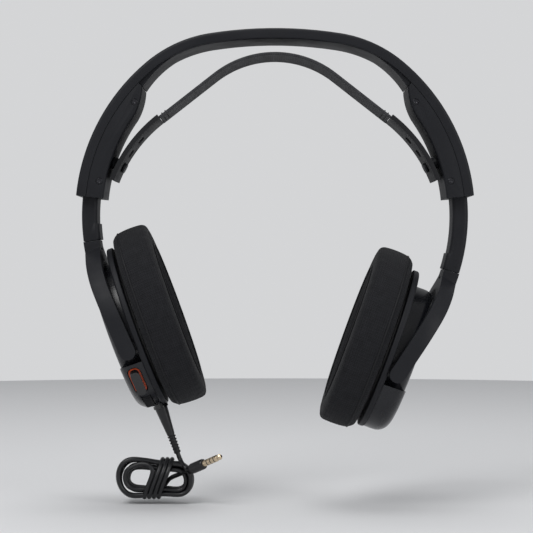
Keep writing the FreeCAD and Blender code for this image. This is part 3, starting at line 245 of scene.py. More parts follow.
def knit_loops():
    """Rows of fine knitted loops over a surface's own UV map, in metres, with painted shade in the dips between
    the loops.
    """
    group = bpy.data.node_groups.new("knit_loops", "ShaderNodeTree")
    group_socket(group, "Vector", "Vector")
    group_socket(group, "Loops Per Metre", "Float", 1000.0)
    group_socket(group, "Rib", "Float", 0.0)
    group_socket(group, "Colour", "Color", (0.03, 0.03, 0.03, 1))
    group_socket(group, "Colour", "Color", out=True)
    group_socket(group, "Height", "Float", out=True)
    source = group.nodes.new("NodeGroupInput")
    sink = group.nodes.new("NodeGroupOutput")
    scaled = linked(group, "ShaderNodeVectorMath", {"operation": "SCALE"}, i0=source.outputs["Vector"],
                    Scale=source.outputs["Loops Per Metre"])
    parts = linked(group, "ShaderNodeSeparateXYZ", Vector=scaled.outputs[0])

    def wave(value, factor, shift=0.0):
        turned = linked(group, "ShaderNodeMath", {"operation": "MULTIPLY_ADD"}, i0=value, i1=factor, i2=shift)
        return linked(group, "ShaderNodeMath", {"operation": "SINE"}, i0=turned.outputs[0]).outputs[0]

    slant = linked(group, "ShaderNodeMath", {"operation": "PINGPONG"}, i0=parts.outputs["X"], i1=0.5)
    lean = linked(group, "ShaderNodeMath", {"operation": "MULTIPLY_ADD"}, i0=slant.outputs[0], i1=1.1,
                  i2=parts.outputs["Y"])
    rows = wave(lean.outputs[0], 2 * math.pi)
    columns = wave(parts.outputs["X"], 2 * math.pi, 1.6)
    loops = linked(group, "ShaderNodeMath", {"operation": "MULTIPLY_ADD"}, i0=columns, i1=0.45, i2=rows)
    ribs = wave(parts.outputs["Y"], 0.9)
    ribbed = linked(group, "ShaderNodeMath", {"operation": "MULTIPLY"}, i0=ribs, i1=source.outputs["Rib"])
    total = linked(group, "ShaderNodeMath", {"operation": "ADD"}, i0=loops.outputs[0], i1=ribbed.outputs[0])
    height = ranged(group, total.outputs[0], -1.45, 1.45)
    yarn = linked(group, "ShaderNodeTexNoise", Vector=scaled.outputs[0], Scale=0.35, Detail=4.0,
                  Roughness=0.7)
    # colour follows the loop height: painted shade in the dips and lighter loop tops, mixed with random yarn tone
    painted_loop_shade_and_yarn_tone = linked(group, "ShaderNodeMath", {"operation": "MULTIPLY_ADD"}, i0=height, i1=0.55,
                   i2=yarn.outputs["Fac"])
    tint = linked(group, "ShaderNodeVectorMath", {"operation": "SCALE"}, i0=source.outputs["Colour"],
                  Scale=ranged(group, painted_loop_shade_and_yarn_tone.outputs[0], 0.3, 1.3, 0.55, 1.4))
    group.links.new(tint.outputs[0], sink.inputs["Colour"])
    group.links.new(height, sink.inputs["Height"])
    return group


def finish(slot):
    """The finish made for a material slot."""
    return bpy.data.materials["finish_" + slot]


def finish_base(name, rough=0.5, metal=0.0, **sockets):
    """A material with a Principled shader whose constants sit on its own sockets."""
    material = bpy.data.materials.new("finish_" + name)
    material.use_nodes = True
    tree = material.node_tree
    shader = tree.nodes["Principled BSDF"]
    shader.inputs["Roughness"].default_value = rough
    shader.inputs["Metallic"].default_value = metal
    for key, value in sockets.items():
        shader.inputs[key.replace("_", " ")].default_value = value
    return material, tree, shader


def bumped(tree, shader, height, distance, strength=0.5):
    bump = linked(tree, "ShaderNodeBump", Height=height, Distance=distance, Strength=strength)
    tree.links.new(bump.outputs["Normal"], shader.inputs["Normal"])


def plastic_finish(name, colour, rough, grain_scale=2600.0, depth=0.00003, strength=0.35, **sockets):
    material, tree, shader = finish_base(name, rough, **sockets)
    place = tree.nodes.new("ShaderNodeTexCoord")
    values = {"Grain Scale": grain_scale, "Roughness": rough, "Colour": (*colour, 1)}
    grain = linked(tree, "ShaderNodeGroup", {"node_tree": bpy.data.node_groups["moulding_grain"]},
                   Vector=place.outputs["Object"], **values)
    tree.links.new(grain.outputs["Colour"], shader.inputs["Base Color"])
    tree.links.new(grain.outputs["Roughness"], shader.inputs["Roughness"])
    bumped(tree, shader, grain.outputs["Height"], depth, strength)
    return material


def knit_finish(name, colour, loops, rib, depth, from_uv, **sockets):
    material, tree, shader = finish_base(name, 0.92, **sockets)
    if from_uv:
        place = linked(tree, "ShaderNodeUVMap", {"uv_map": "cloth"}).outputs["UV"]
    else:
        place = tree.nodes.new("ShaderNodeTexCoord").outputs["Object"]
    values = {"Loops Per Metre": loops, "Rib": rib, "Colour": (*colour, 1)}
    knit = linked(tree, "ShaderNodeGroup", {"node_tree": bpy.data.node_groups["knit_loops"]},
                  Vector=place, **values)
    tree.links.new(knit.outputs["Colour"], shader.inputs["Base Color"])
    bumped(tree, shader, knit.outputs["Height"], depth, 0.8)
    return material


def metal_finish(name, colour, rough, stretch=(1, 1, 1)):
    """Bright metal with fine drawing lines."""
    material, tree, shader = finish_base(name, rough, 1.0)
    place = tree.nodes.new("ShaderNodeTexCoord")
    drawn = linked(tree, "ShaderNodeMapping", Vector=place.outputs["Object"], Scale=stretch)
    lines = linked(tree, "ShaderNodeTexNoise", Vector=drawn.outputs[0], Scale=900.0, Detail=3.0)
    tint = linked(tree, "ShaderNodeVectorMath", {"operation": "SCALE"}, i0=tuple(colour),
                  Scale=ranged(tree, lines.outputs["Fac"], to_min=0.8, to_max=1.1))
    uneven = ranged(tree, lines.outputs["Fac"], to_min=rough * 0.7, to_max=rough * 1.4)
    tree.links.new(tint.outputs[0], shader.inputs["Base Color"])
    tree.links.new(uneven, shader.inputs["Roughness"])
    bumped(tree, shader, lines.outputs["Fac"], 0.00001, 0.3)
    return material


def board_finish(name):
    """Solder mask with copper tracks under it."""
    material, tree, shader = finish_base(name, 0.35)
    place = tree.nodes.new("ShaderNodeTexCoord")
    tracks = linked(tree, "ShaderNodeTexBrick", Vector=place.outputs["Object"], Scale=320.0,
                    Color1=(0.012, 0.10, 0.035, 1), Color2=(0.010, 0.08, 0.028, 1),
                    Mortar=(0.03, 0.22, 0.08, 1))
    tree.links.new(tracks.outputs["Color"], shader.inputs["Base Color"])
    bumped(tree, shader, tracks.outputs["Fac"], 0.00002)
    return material


class HEADSET_OT_finishes(bpy.types.Operator):
    """Make the finishes and give every carried-over part its own"""

    bl_idname = "headset.finishes"
    bl_label = "Finishes"

    def execute(self, context):
        colours = context.scene.headset_colours
        moulding_grain()
        knit_loops()
        plastic_finish("shell_plastic", colours.moulding, 0.5, Specular_IOR_Level=0.2)
        plastic_finish("drum_plastic", colours.drum, 0.27, 3200.0, 0.00001, 0.2, Specular_IOR_Level=0.4)
        plastic_finish("strap_rubber", colours.rubber, 0.62, 1500.0, 0.00004, 0.4, Specular_IOR_Level=0.25)
        plastic_finish("cable_rubber", colours.rubber, 0.33, 1800.0, 0.00002, 0.25, Specular_IOR_Level=0.45)
        plastic_finish("key_plastic", (0.008, 0.008, 0.0095), 0.16, 3000.0, 0.000005, 0.1, Coat_Weight=0.3,
                       Coat_Roughness=0.08)
        plastic_finish("accent_plastic", colours.accent, 0.38, 2200.0, 0.00002, 0.2)
        plastic_finish("magnet", (0.32, 0.32, 0.33), 0.35, 1200.0, 0.00002, 0.3)
        plastic_finish("diaphragm_film", (0.2, 0.2, 0.21), 0.3, 700.0, 0.00003, 0.4)
        metal_finish("spring_steel", colours.steel, 0.28, (1, 8, 1))
        metal_finish("pin_steel", colours.steel, 0.22, (1, 8, 1))
        metal_finish("screw_steel", (0.045, 0.045, 0.05), 0.36)
        metal_finish("contact_metal", colours.contact, 0.17)
        board_finish("board")
        knit_finish("cushion_fabric", colours.knit, 850.0, 0.0, 0.00025, True, Specular_IOR_Level=0.12,
                    Sheen_Weight=0.05, Sheen_Roughness=0.5)
        knit_finish("strap_fabric", colours.webbing, 800.0, 0.5, 0.0002, True, Specular_IOR_Level=0.15,
                    Sheen_Weight=0.06, Sheen_Roughness=0.5)
        knit_finish("scrim_cloth", (0.010, 0.010, 0.0115), 1100.0, 0.0, 0.0002, False,
                    Specular_IOR_Level=0.15)
        for node, part in frame["nodes"].items():
            part.data.materials.clear()
            part.data.materials.append(finish(SLOTS[node]))
        return {"FINISHED"}


# --- Hard casings -----------------------------------------------------------------------------
EASED = {
    "headband_shell": ("headband", 0.0004),
    "left_housing": ("headband", 0.0005),
    "right_housing": ("headband", 0.0005),
    "left_strap_end": ("headband", 0.0005),
    "right_strap_end": ("headband", 0.0005),
    "left_strap_peg": ("headband", 0.0004),
    "right_strap_peg": ("headband", 0.0004),
    "left_slider": ("left_arm", 0.0004),
    "right_slider": ("right_arm", 0.0004),
    "left_yoke": ("left_yoke", 0.0011),
    "right_yoke": ("right_yoke", 0.0011),
}
EDGE_ANGLE = math.radians(24)
FLAT_ANGLE = math.radians(0.6)


class HEADSET_OT_casings(bpy.types.Operator):
    """Round the moulded edges of the casings, arms and yokes"""

    bl_idname = "headset.casings"
    bl_label = "Casings"

    def execute(self, context):
        for node, (body, width) in EASED.items():
            form = bmesh.new()
            form.from_mesh(frame["nodes"][node].data)
            bmesh.ops.remove_doubles(form, verts=form.verts, dist=CAD_MERGE)
            bmesh.ops.dissolve_limit(form, angle_limit=FLAT_ANGLE, verts=form.verts, edges=form.edges)
            for face in form.faces:
                face.smooth = True
            piece = new_mesh_piece(node + "_moulding", form, body, SLOTS[node])
            ease = piece.modifiers.new("ease", "BEVEL")
            ease.width = width
            ease.segments = 3
            ease.limit_method = "ANGLE"
            ease.angle_limit = EDGE_ANGLE
            ease.harden_normals = True
            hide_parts(node)
        return {"FINISHED"}


# --- Ear cushions -----------------------------------------------------------------------------
CUSHION_SECTION = (
    (0.0, 0.08), (0.0, 0.45), (0.0, 0.80), (0.02, 0.885), (0.085, 0.955), (0.22, 1.005), (0.48, 1.03),
    (0.74, 1.025), (0.91, 1.01), (0.975, 0.98), (1.0, 0.92), (1.0, 0.70), (1.0, 0.46), (0.985, 0.24),
    (0.93, 0.09), (0.80, 0.01), (0.58, 0.0), (0.30, 0.02), (0.08, 0.05),
)
RIM_FACE_U = -0.0088
HELD_BACK = 0.0022  # the foam this near the rim plate is fixed
VOXEL = 0.0026
SETTLE_FRAMES = 20
SECTION_ACROSS = 0.0205
LOOP = 0.001
SLICE = 0.0016


def oval_ring(form, around, u, half_width, half_height, centre):
    """A ring of points round the cup at one depth, in cup axes."""
    ring = bmesh.ops.create_circle(form, cap_ends=False, segments=around, radius=1.0)["verts"]
    for vert in ring:
        vert.co = Vector((u, vert.co.x * half_width, vert.co.y * half_height + centre))
    return ring


def joined_rings(form, rings):
    """Closes a tube from rings that follow each other round it."""
    for first, second in zip(rings, rings[1:] + rings[:1]):
        for a, b, c, d in zip(first, first[1:] + first[:1], second[1:] + second[:1], second):
            form.faces.new((a, b, c, d))
    faces_outward(form)


def cushion_form(padding, shrink, around):
    """An oval foam ring in cup axes, from a section lofted round the ear opening."""
    form = bmesh.new()
    rows = []
    for depth, share in CUSHION_SECTION:
        reach = padding.cushion_depth - 2 * shrink
        u = RIM_FACE_U - shrink - depth * reach
        tall = padding.ear_height / 2 + shrink
        wide = padding.ear_width / 2 + shrink
        half_height = tall + share * (padding.cushion_height / 2 - shrink - tall)
        half_width = wide + share * (padding.cushion_width / 2 - shrink - wide)
        rows.append(oval_ring(form, around, u, half_width, half_height, padding.cup_centre))
    joined_rings(form, rows)
    return form


def puff_up(name, form, padding):
    """Lets the foam swell its cover by a cloth simulation, and gives back the swollen mesh."""
    mesh = bpy.data.meshes.new(name)
    form.to_mesh(mesh)
    form.free()
    blank = bpy.data.objects.new(name, mesh)
    bpy.context.scene.collection.objects.link(blank)
    remesh = blank.modifiers.new("even", "REMESH")
    remesh.mode = "VOXEL"
    remesh.voxel_size = VOXEL
    depsgraph = bpy.context.evaluated_depsgraph_get()
    even = bpy.data.meshes.new_from_object(blank.evaluated_get(depsgraph))
    blank.modifiers.clear()
    blank.data = even
    starts = [vert.co.copy() for vert in even.vertices]
    held = blank.vertex_groups.new(name="held")
    held.add([i for i, start in enumerate(starts) if start.x > RIM_FACE_U - HELD_BACK], 1.0, "REPLACE")
    cloth = blank.modifiers.new("cover", "CLOTH")
    cloth.settings.quality = 6
    cloth.settings.mass = 0.3
    cloth.settings.use_pressure = True
    cloth.settings.uniform_pressure_force = 4.0
    cloth.settings.tension_stiffness = 12.0
    cloth.settings.compression_stiffness = 12.0
    cloth.settings.bending_stiffness = 1.5
    cloth.settings.effector_weights.gravity = 0.0
    cloth.settings.vertex_group_mass = "held"
    cloth.collision_settings.use_collision = False
    cloth.point_cache.frame_start = 1
    cloth.point_cache.frame_end = SETTLE_FRAMES
    scene = bpy.context.scene
    for number in range(1, SETTLE_FRAMES + 1):
        scene.frame_set(number)
    depsgraph = bpy.context.evaluated_depsgraph_get()
    swollen = bpy.data.meshes.new_from_object(blank.evaluated_get(depsgraph))
    scene.frame_set(1)
    for vert, start in zip(swollen.vertices, starts):
        move = vert.co - start
        if move.length > padding.swell:
            vert.co = start + move.normalized() * padding.swell
    bpy.data.objects.remove(blank)
    result = bmesh.new()
    result.from_mesh(swollen)
    bmesh.ops.smooth_vert(result, verts=result.verts, factor=0.5, use_axis_x=True, use_axis_y=True,
                          use_axis_z=True)
    return result


def core_radii(padding):
    """Half height and half width of the ring that runs through the middle of the foam."""
    tall = (padding.ear_height + padding.cushion_height) / 4
    wide = (padding.ear_width + padding.cushion_width) / 4
    return tall, wide


def lay_cloth_map(mesh, padding):
    """UVs in metres: round the ear opening, and along the section."""
    layer = mesh.uv_layers.new(name="cloth")
    tall, wide = core_radii(padding)
    middle = RIM_FACE_U - padding.cushion_depth / 2
    whole = [round(way / LOOP) for way in (math.pi * (tall + wide), math.pi * SECTION_ACROSS)]
    for face in mesh.polygons:
        marks = []
        for corner in face.loop_indices:
            co = mesh.vertices[mesh.loops[corner].vertex_index].co
            turn = math.atan2(co.y / wide, (co.z - padding.cup_centre) / tall)
            core = Vector((middle, wide * math.sin(turn), padding.cup_centre + tall * math.cos(turn)))
            out = math.hypot(co.y - core.y, co.z - core.z)
            outward = co.y * core.y + (co.z - padding.cup_centre) * (core.z - padding.cup_centre)
            sign = 1 if outward > core.y ** 2 + (core.z - padding.cup_centre) ** 2 else -1
            marks.append([turn / (2 * math.pi), math.atan2(sign * out, middle - co.x) / (2 * math.pi)])
        for k in (0, 1):
            if max(m[k] for m in marks) - min(m[k] for m in marks) > 0.5:
                for mark in marks:
                    mark[k] += 1.0 if mark[k] < 0 else 0.0
        for corner, (a, b) in zip(face.loop_indices, marks):
            layer.data[corner].uv = (a * whole[0] * LOOP, b * whole[1] * LOOP)


def piping(padding, u, half_height, half_width, radius, around=96, sides=8):
    """A thin corded seam round the cup, in cup axes."""
    form = bmesh.new()
    rings = []
    for index in range(sides):
        turn = 2 * math.pi * index / sides
        across = radius * math.sin(turn)
        rings.append(oval_ring(form, around, u + radius * math.cos(turn), half_width + across,
                               half_height + across, padding.cup_centre))
    joined_rings(form, rings)
    return form


class HEADSET_OT_cushions(bpy.types.Operator):
    """Model the two knit-covered ear cushions and their seams"""

    bl_idname = "headset.cushions"
    bl_label = "Ear cushions"

    def execute(self, context):
        padding = context.scene.headset_padding
        swollen = puff_up("cushion_blank", cushion_form(padding, padding.swell * 0.8, 96), padding)
        master = bpy.data.meshes.new("cushion_master")
        swollen.to_mesh(master)
        swollen.free()
        lay_cloth_map(master, padding)
        self.cover = self.softened(master)
        for side in SIDES:
            form = bmesh.new()
            form.from_mesh(master)
            self.place(form, side)
            cushion = new_mesh_piece(side + "_cushion_cover", form, side + "_cup", "cushion_fabric")
            for face in cushion.data.polygons:
                face.use_smooth = True
            subdivide = cushion.modifiers.new("soft", "SUBSURF")
            subdivide.levels = 1
            subdivide.render_levels = 1
            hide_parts(side + "_ear_cushion")
            self.seams(padding, side)
        return {"FINISHED"}

    def softened(self, mesh):
        """The cover's mesh once it is subdivided, as it will be seen."""
        blank = bpy.data.objects.new("cover_blank", mesh)
        bpy.context.scene.collection.objects.link(blank)
        blank.modifiers.new("soft", "SUBSURF").levels = 1
        seen = bpy.data.meshes.new_from_object(blank.evaluated_get(bpy.context.evaluated_depsgraph_get()))
        bpy.data.objects.remove(blank)
        return seen

    def place(self, form, side):
        bmesh.ops.transform(form, matrix=cup_matrix(side), verts=form.verts)
        if SIDES[side] < 0:
            bmesh.ops.reverse_faces(form, faces=form.faces)

    def seams(self, padding, side):
        """A corded seam near the rim and one round the ear opening, each lying on the cover."""
        rows = (("rim_seam", 0.22, 1.0, 0.0005), ("ear_seam", 0.955, -1.0, 0.0004))
        for name, depth, outward, radius in rows:
            u = RIM_FACE_U - padding.cushion_depth * depth
            half_height, half_width = self.outline(padding, u, outward)
            proud = outward * radius * 0.2
            form = piping(padding, u, half_height + proud, half_width + proud, radius)
            self.place(form, side)
            seam = new_mesh_piece(f"{side}_cushion_{name}", form, side + "_cup", "cushion_fabric",
                                  "strap_rubber")
            smooth(seam.data, math.radians(80))

    def outline(self, padding, u, outward):
        """Half height and half width of the cover's outer or inner outline at a depth."""
        near = [vert.co for vert in self.cover.vertices if abs(vert.co.x - u) < SLICE]
        tall, wide = core_radii(padding)
        high = [abs(co.z - padding.cup_centre) for co in near
                if abs(co.y) < 0.004 and (abs(co.z - padding.cup_centre) - tall) * outward > 0]
        broad = [abs(co.y) for co in near
                 if abs(co.z - padding.cup_centre) < 0.004 and (abs(co.y) - wide) * outward > 0]
        return sum(high) / len(high), sum(broad) / len(broad)


# --- Suspension strap -------------------------------------------------------------------------
def strap_path(padding):
    """(x, z, distance) down the middle of the strap from the left to the right."""
    slope, straight = padding.strap_slope, padding.strap_straight
    radius = padding.strap_crown + padding.strap_thickness / 2 + 0.0001
    crown_z = -padding.strap_crown
    bends, strides = 14, 12
    half = []
    for step in range(bends + 1):
        turn = slope * step / bends
        half.append((radius * math.sin(turn), crown_z + radius * math.cos(turn)))
    end = half[-1]
    for step in range(1, strides + 1):
        half.append((end[0] + math.cos(slope) * straight * step / strides,
                     end[1] - math.sin(slope) * straight * step / strides))
    points = [(-x, z) for x, z in reversed(half[1:])] + half
    run = [0.0]
    for (x0, z0), (x1, z1) in zip(points, points[1:]):
        run.append(run[-1] + math.hypot(x1 - x0, z1 - z0))
    return [(x, z, d) for (x, z), d in zip(points, run)]


class HEADSET_OT_strap(bpy.types.Operator):
    """Weave the elastic suspension strap, with rolled edges and the stitching at its ends"""

    bl_idname = "headset.strap"
    bl_label = "Suspension strap"

    def execute(self, context):
        padding = context.scene.headset_padding
        path = strap_path(padding)
        half = padding.strap_width / 2
        form = bmesh.new()
        cloth = form.loops.layers.uv.new("cloth")
        columns = [-half + 2 * half * k / 24 for k in range(25)]
        rows = []
        for x, z, _ in path:
            rows.append([form.verts.new((x, y, z - 0.0005 * (abs(y) / half) ** 4)) for y in columns])
        form.verts.ensure_lookup_table()
        for i, (first, second) in enumerate(zip(rows, rows[1:])):
            for k in range(len(columns) - 1):
                face = form.faces.new((first[k], second[k], second[k + 1], first[k + 1]))
                face.smooth = True
                marks = ((i, k), (i + 1, k), (i + 1, k + 1), (i, k + 1))
                for loop, (row, column) in zip(face.loops, marks):
                    loop[cloth].uv = (columns[column] + half, path[row][2])
        bmesh.ops.recalc_face_normals(form, faces=form.faces)
        strap = new_mesh_piece("strap_webbing", form, "headband", "strap_fabric")
        wall = strap.modifiers.new("thickness", "SOLIDIFY")
        wall.thickness = padding.strap_thickness
        wall.offset = 0.0
        ease = strap.modifiers.new("ease", "BEVEL")
        ease.width = 0.0005
        ease.segments = 2
        ease.limit_method = "ANGLE"
        ease.angle_limit = math.radians(50)
        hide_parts("suspension_strap")
        self.stitching(padding, path)
        return {"FINISHED"}

    def stitching(self, padding, path):
        """Two rows of raised stitches across each end of the webbing."""
        form = bmesh.new()
        for side in (-1, 1):
            for inset in (0.0022, 0.0044):
                far, near = (path[-1], path[-2]) if side > 0 else (path[0], path[1])
                along = Vector((near[0] - far[0], 0, near[1] - far[1])).normalized()
                up = Vector((-along.z * side, 0, along.x * side)) * -1
                for k in range(15):
                    y = padding.strap_width * (-0.44 + 0.88 * k / 14)
                    centre = Vector((far[0], y, far[1])) + along * inset
                    for face in (-1, 1):
                        spot = centre + up * face * (padding.strap_thickness / 2)
                        made = bmesh.ops.create_uvsphere(form, u_segments=8, v_segments=5,
                                                         radius=0.00035)["verts"]
                        for vert in made:
                            vert.co.y *= 2.3
                        bmesh.ops.translate(form, verts=made, vec=spot)
        for face in form.faces:
            face.smooth = True
        new_mesh_piece("strap_stitches", form, "headband", "strap_fabric", "strap_rubber")


# --- Controls and screws ----------------------------------------------------------------------
COLLAR_DRAWN_IN = 0.00042
SOCKET_DEPTH = 0.0007
SOCKET_REACH = 0.00085
PAN_HEAD = ((0.0, 0.0), (0.0, 0.0009), (0.0, 0.00145), (0.00018, 0.00172), (0.0012, 0.00172), (0.0012, 0.001),
            (0.006, 0.001), (0.006, 0.0))


def loose_parts(form):
    """The points of each separate part of a mesh, in the order of the mesh."""
    seen, parts = set(), []
    for start in form.verts:
        if start in seen:
            continue
        seen.add(start)
        part = [start]
        for vert in part:
            for edge in vert.link_edges:
                other = edge.other_vert(vert)
                if other not in seen:
                    seen.add(other)
                    part.append(other)
        parts.append([vert.co.copy() for vert in part])
    return parts


class HEADSET_OT_controls(bpy.types.Operator):
    """Model the ribbed volume wheel and the housings' recessed screws"""

    bl_idname = "headset.controls"
    bl_label = "Controls and screws"

    def execute(self, context):
        self.wheel()
        self.collar()
        for side in SIDES:
            self.screws(side)
        return {"FINISHED"}

    def collar(self):
        """The accent collar, narrowed to the slim line that shows round the button."""
        press = Vector(joint_named("mute_press")["axis"])
        form = bmesh.new()
        form.from_mesh(frame["nodes"]["mute_button_skirt"].data)
        bmesh.ops.remove_doubles(form, verts=form.verts, dist=CAD_MERGE)
        middle = sum((vert.co for vert in form.verts), Vector()) / len(form.verts)
        for vert in form.verts:
            off = vert.co - middle
            across = off - press * off.dot(press)
            vert.co -= across.normalized() * COLLAR_DRAWN_IN
        piece = new_mesh_piece("mute_button_collar", form, "mute_key", "accent_plastic")
        smooth(piece.data, math.radians(35))
        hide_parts("mute_button_skirt")

    def wheel(self):
        """The ribbed wheel on its axle."""
        joint = joint_named("volume_turn")
        centre, axis = Vector(joint["pos_m"]), Vector(joint["axis"])
        half, radius, ribs, rib_depth = 0.0022, 0.008, 44, 0.00035
        form = spun([(-half, 0.0), (-half, 0.0068), (-half, radius - 0.0005), (-half + 0.0004, radius),
                     (half - 0.0004, radius), (half, radius - 0.0005), (half, 0.0068), (half, 0.0)],
                    axis, centre, ribs * 2)
        for vert in form.verts:
            out = vert.co - centre
            across = out - axis * out.dot(axis)
            if across.length > radius - 0.0002:
                side = axis.orthogonal().normalized()
                turn = math.atan2(across.dot(axis.cross(side)), across.dot(side))
                if round(turn / (math.pi / ribs)) % 2:
                    vert.co -= across.normalized() * rib_depth
        wheel = new_mesh_piece("volume_wheel_rim", form, "volume_wheel", "key_plastic", "strap_rubber")
        smooth(wheel.data, math.radians(20))
        axle = spun([(-0.0048, 0.0), (-0.0048, 0.0012), (0.0055, 0.0012), (0.0055, 0.0)], axis, centre, 20)
        axle_piece = new_mesh_piece("volume_wheel_axle", axle, "volume_wheel", "key_plastic")
        smooth(axle_piece.data, math.radians(40))
        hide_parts("volume_wheel")

    def screws(self, side):
        """Pan heads with a sunk socket, where the CAD screws sit."""
        node = frame["nodes"][side + "_housing_screws"]
        source = bmesh.new()
        source.from_mesh(node.data)
        bmesh.ops.remove_doubles(source, verts=source.verts, dist=CAD_MERGE)
        heads = []
        for part in loose_parts(source):
            low = [min(co[k] for co in part) for k in range(3)]
            high = [max(co[k] for co in part) for k in range(3)]
            heads.append(Vector(((low[0] + high[0]) / 2, low[1], (low[2] + high[2]) / 2)))
        source.free()
        form = bmesh.new()
        for seat in heads:
            head = spun(PAN_HEAD, (0, 1, 0), seat, 24)
            mesh = bpy.data.meshes.new("head")
            head.to_mesh(mesh)
            head.free()
            form.from_mesh(mesh)
            bpy.data.meshes.remove(mesh)
        tops = [face for face in form.faces
                if abs(face.normal.y) > 0.99 and face.calc_center_median().y < heads[0].y + 0.0001
                and min((face.calc_center_median() - seat).length for seat in heads) < 0.0008]
        sunk = {vert for face in tops for vert in face.verts
                if min((vert.co - seat).length for seat in heads) < SOCKET_REACH}
        for vert in sunk:
            vert.co.y += SOCKET_DEPTH
        piece = new_mesh_piece(side + "_housing_screw_set", form, "headband", "screw_steel")
        smooth(piece.data, math.radians(30))
        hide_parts(side + "_housing_screws")


# --- Cord -------------------------------------------------------------------------------------
CORD_EXIT = Vector((-53.35, 0.0, -216.82)) * MM
BOOT_WAY = Vector((0.34202, 0.0, -0.939693))
PLUG_START = Vector((-47.0, -7.0, -225.5)) * MM
PLUG_WAY = Vector((0.678, -0.643, 0.354))


def eased_join(start, start_way, end, end_way, reach, count):
    """Points between two ends of the route, leaving one and reaching the other along its own way."""
    a, b = start + start_way.normalized() * reach, end - end_way.normalized() * reach
    made = []
    for index in range(1, count):
        t = index / count
        made.append(start * (1 - t) ** 3 + a * 3 * t * (1 - t) ** 2 + b * 3 * t ** 2 * (1 - t) + end * t ** 3)
    return made


def hank_turns(cord, centre):
    """The turns of the hank: a wide loop at one end, a narrower one at the other, drawn in between."""
    layers = cord.turns // 2
    spacing = cord.diameter * 1.06
    waist = centre.x + cord.waist
    chance = random.Random(cord.seed)
    marks = [[chance.uniform(-1, 1) for _ in range(4)] for _ in range(cord.turns + 2)]
    steps = 18
    big_step, small_step = 0.0032, 0.0026  # the inner layer's loops are smaller by this
    big_slack, inner_slack, small_slack = 0.0012, 0.0016, 0.0006  # and a loose turn's by up to this
    rise, fan, pinch_reach = 0.0012, 0.0011, 0.0078
    points = []
    for index in range(int((cord.turns - 0.22) * steps) + 1):
        turn = index / steps
        angle = math.radians(40) - 2 * math.pi * turn
        whole, part = int(turn), turn % 1.0
        ease = part * part * (3 - 2 * part)
        tilt, lift, spread, shut = (a + (b - a) * ease for a, b in zip(marks[whole], marks[whole + 1]))
        outer = 0.5 - 0.5 * math.tanh((turn - layers) * 4)
        across = turn if turn < layers else 2 * layers - turn
        y = centre.y - (layers / 2 - across) * spacing * 0.95
        left = 0.5 - 0.5 * max(-1.0, min(1.0, 1.4 * math.cos(angle)))
        left = left * left * (3 - 2 * left)
        slack = 0.5 + 0.5 * shut
        big = cord.loop_radius - (1 - outer) * big_step - slack * (big_slack + inner_slack * (1 - outer))
        small = cord.end_radius - (1 - outer) * small_step - slack * small_slack
        radius = small + (big - small) * left
        middle = cord.end_centre + (cord.loop_centre - cord.end_centre) * left
        x = centre.x + middle + radius * math.cos(angle)
        z = radius * math.sin(angle) + rise * lift * left - rise * (1 - left)
        lean = 0.09 * tilt
        x, z = x - lean * z, z + lean * (x - centre.x) * 0.5
        z *= 1.0 - cord.pinch * math.exp(-(((x - waist) / pinch_reach) ** 2))
        y += fan * spread * left
        points.append(Vector((x, y, centre.z + z)))
    return points


def hank_wraps(cord, centre):
    """The turns round the middle of the hank, from its front down, round and up its back."""
    spacing = cord.diameter * 1.04
    deep, tall, steps = 0.0086, 0.0106, 14
    points = []
    for index in range(int((cord.wraps + 0.53) * steps)):
        turn = index / steps
        angle = math.radians(12) - 2 * math.pi * turn
        z = tall * math.sin(angle)
        x = centre.x + cord.waist - spacing * (cord.wraps * 0.5 - turn) + cord.wrap_lean * z
        y = centre.y - deep * math.cos(angle) * (1 + 0.05 * math.sin(7 * turn))
        points.append(Vector((x, y, centre.z - 0.0004 + z)))
    return points


def cord_route(cord):
    """Points of the whole cord: out of the boot, round the hank, round its middle and to the plug."""
    low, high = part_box("cord_hank")
    centre = (low + high) / 2
    out = PLUG_WAY.normalized()
    turns, wraps = hank_turns(cord, centre), hank_wraps(cord, centre)
    points = [CORD_EXIT, CORD_EXIT + BOOT_WAY * 0.0016, CORD_EXIT + BOOT_WAY * 0.0032]
    points += eased_join(points[-1], BOOT_WAY, turns[0], turns[1] - turns[0], 0.0026, 4)
    points += turns
    points += eased_join(turns[-1], turns[-1] - turns[-2], wraps[0], wraps[1] - wraps[0], 0.0065, 7)
    points += wraps
    join = PLUG_START - out * 0.0060
    points += eased_join(wraps[-1], wraps[-1] - wraps[-2], join, out, 0.0085, 9)
    points += [join, PLUG_START - out * 0.0035, PLUG_START - out * 0.001, PLUG_START + out * 0.0006]
    return points


def line_length(curve_object):
    """Length of the cord's line, without its thickness."""
    bare = curve_object.copy()
    bare.data = curve_object.data.copy()
    bare.data.bevel_depth = 0.0
    mesh = bpy.data.meshes.new_from_object(bare)
    ends = [[mesh.vertices[index].co for index in edge.vertices] for edge in mesh.edges]
    total = sum((a - b).length for a, b in ends)
    bpy.data.meshes.remove(mesh)
    bpy.data.objects.remove(bare)
    return total


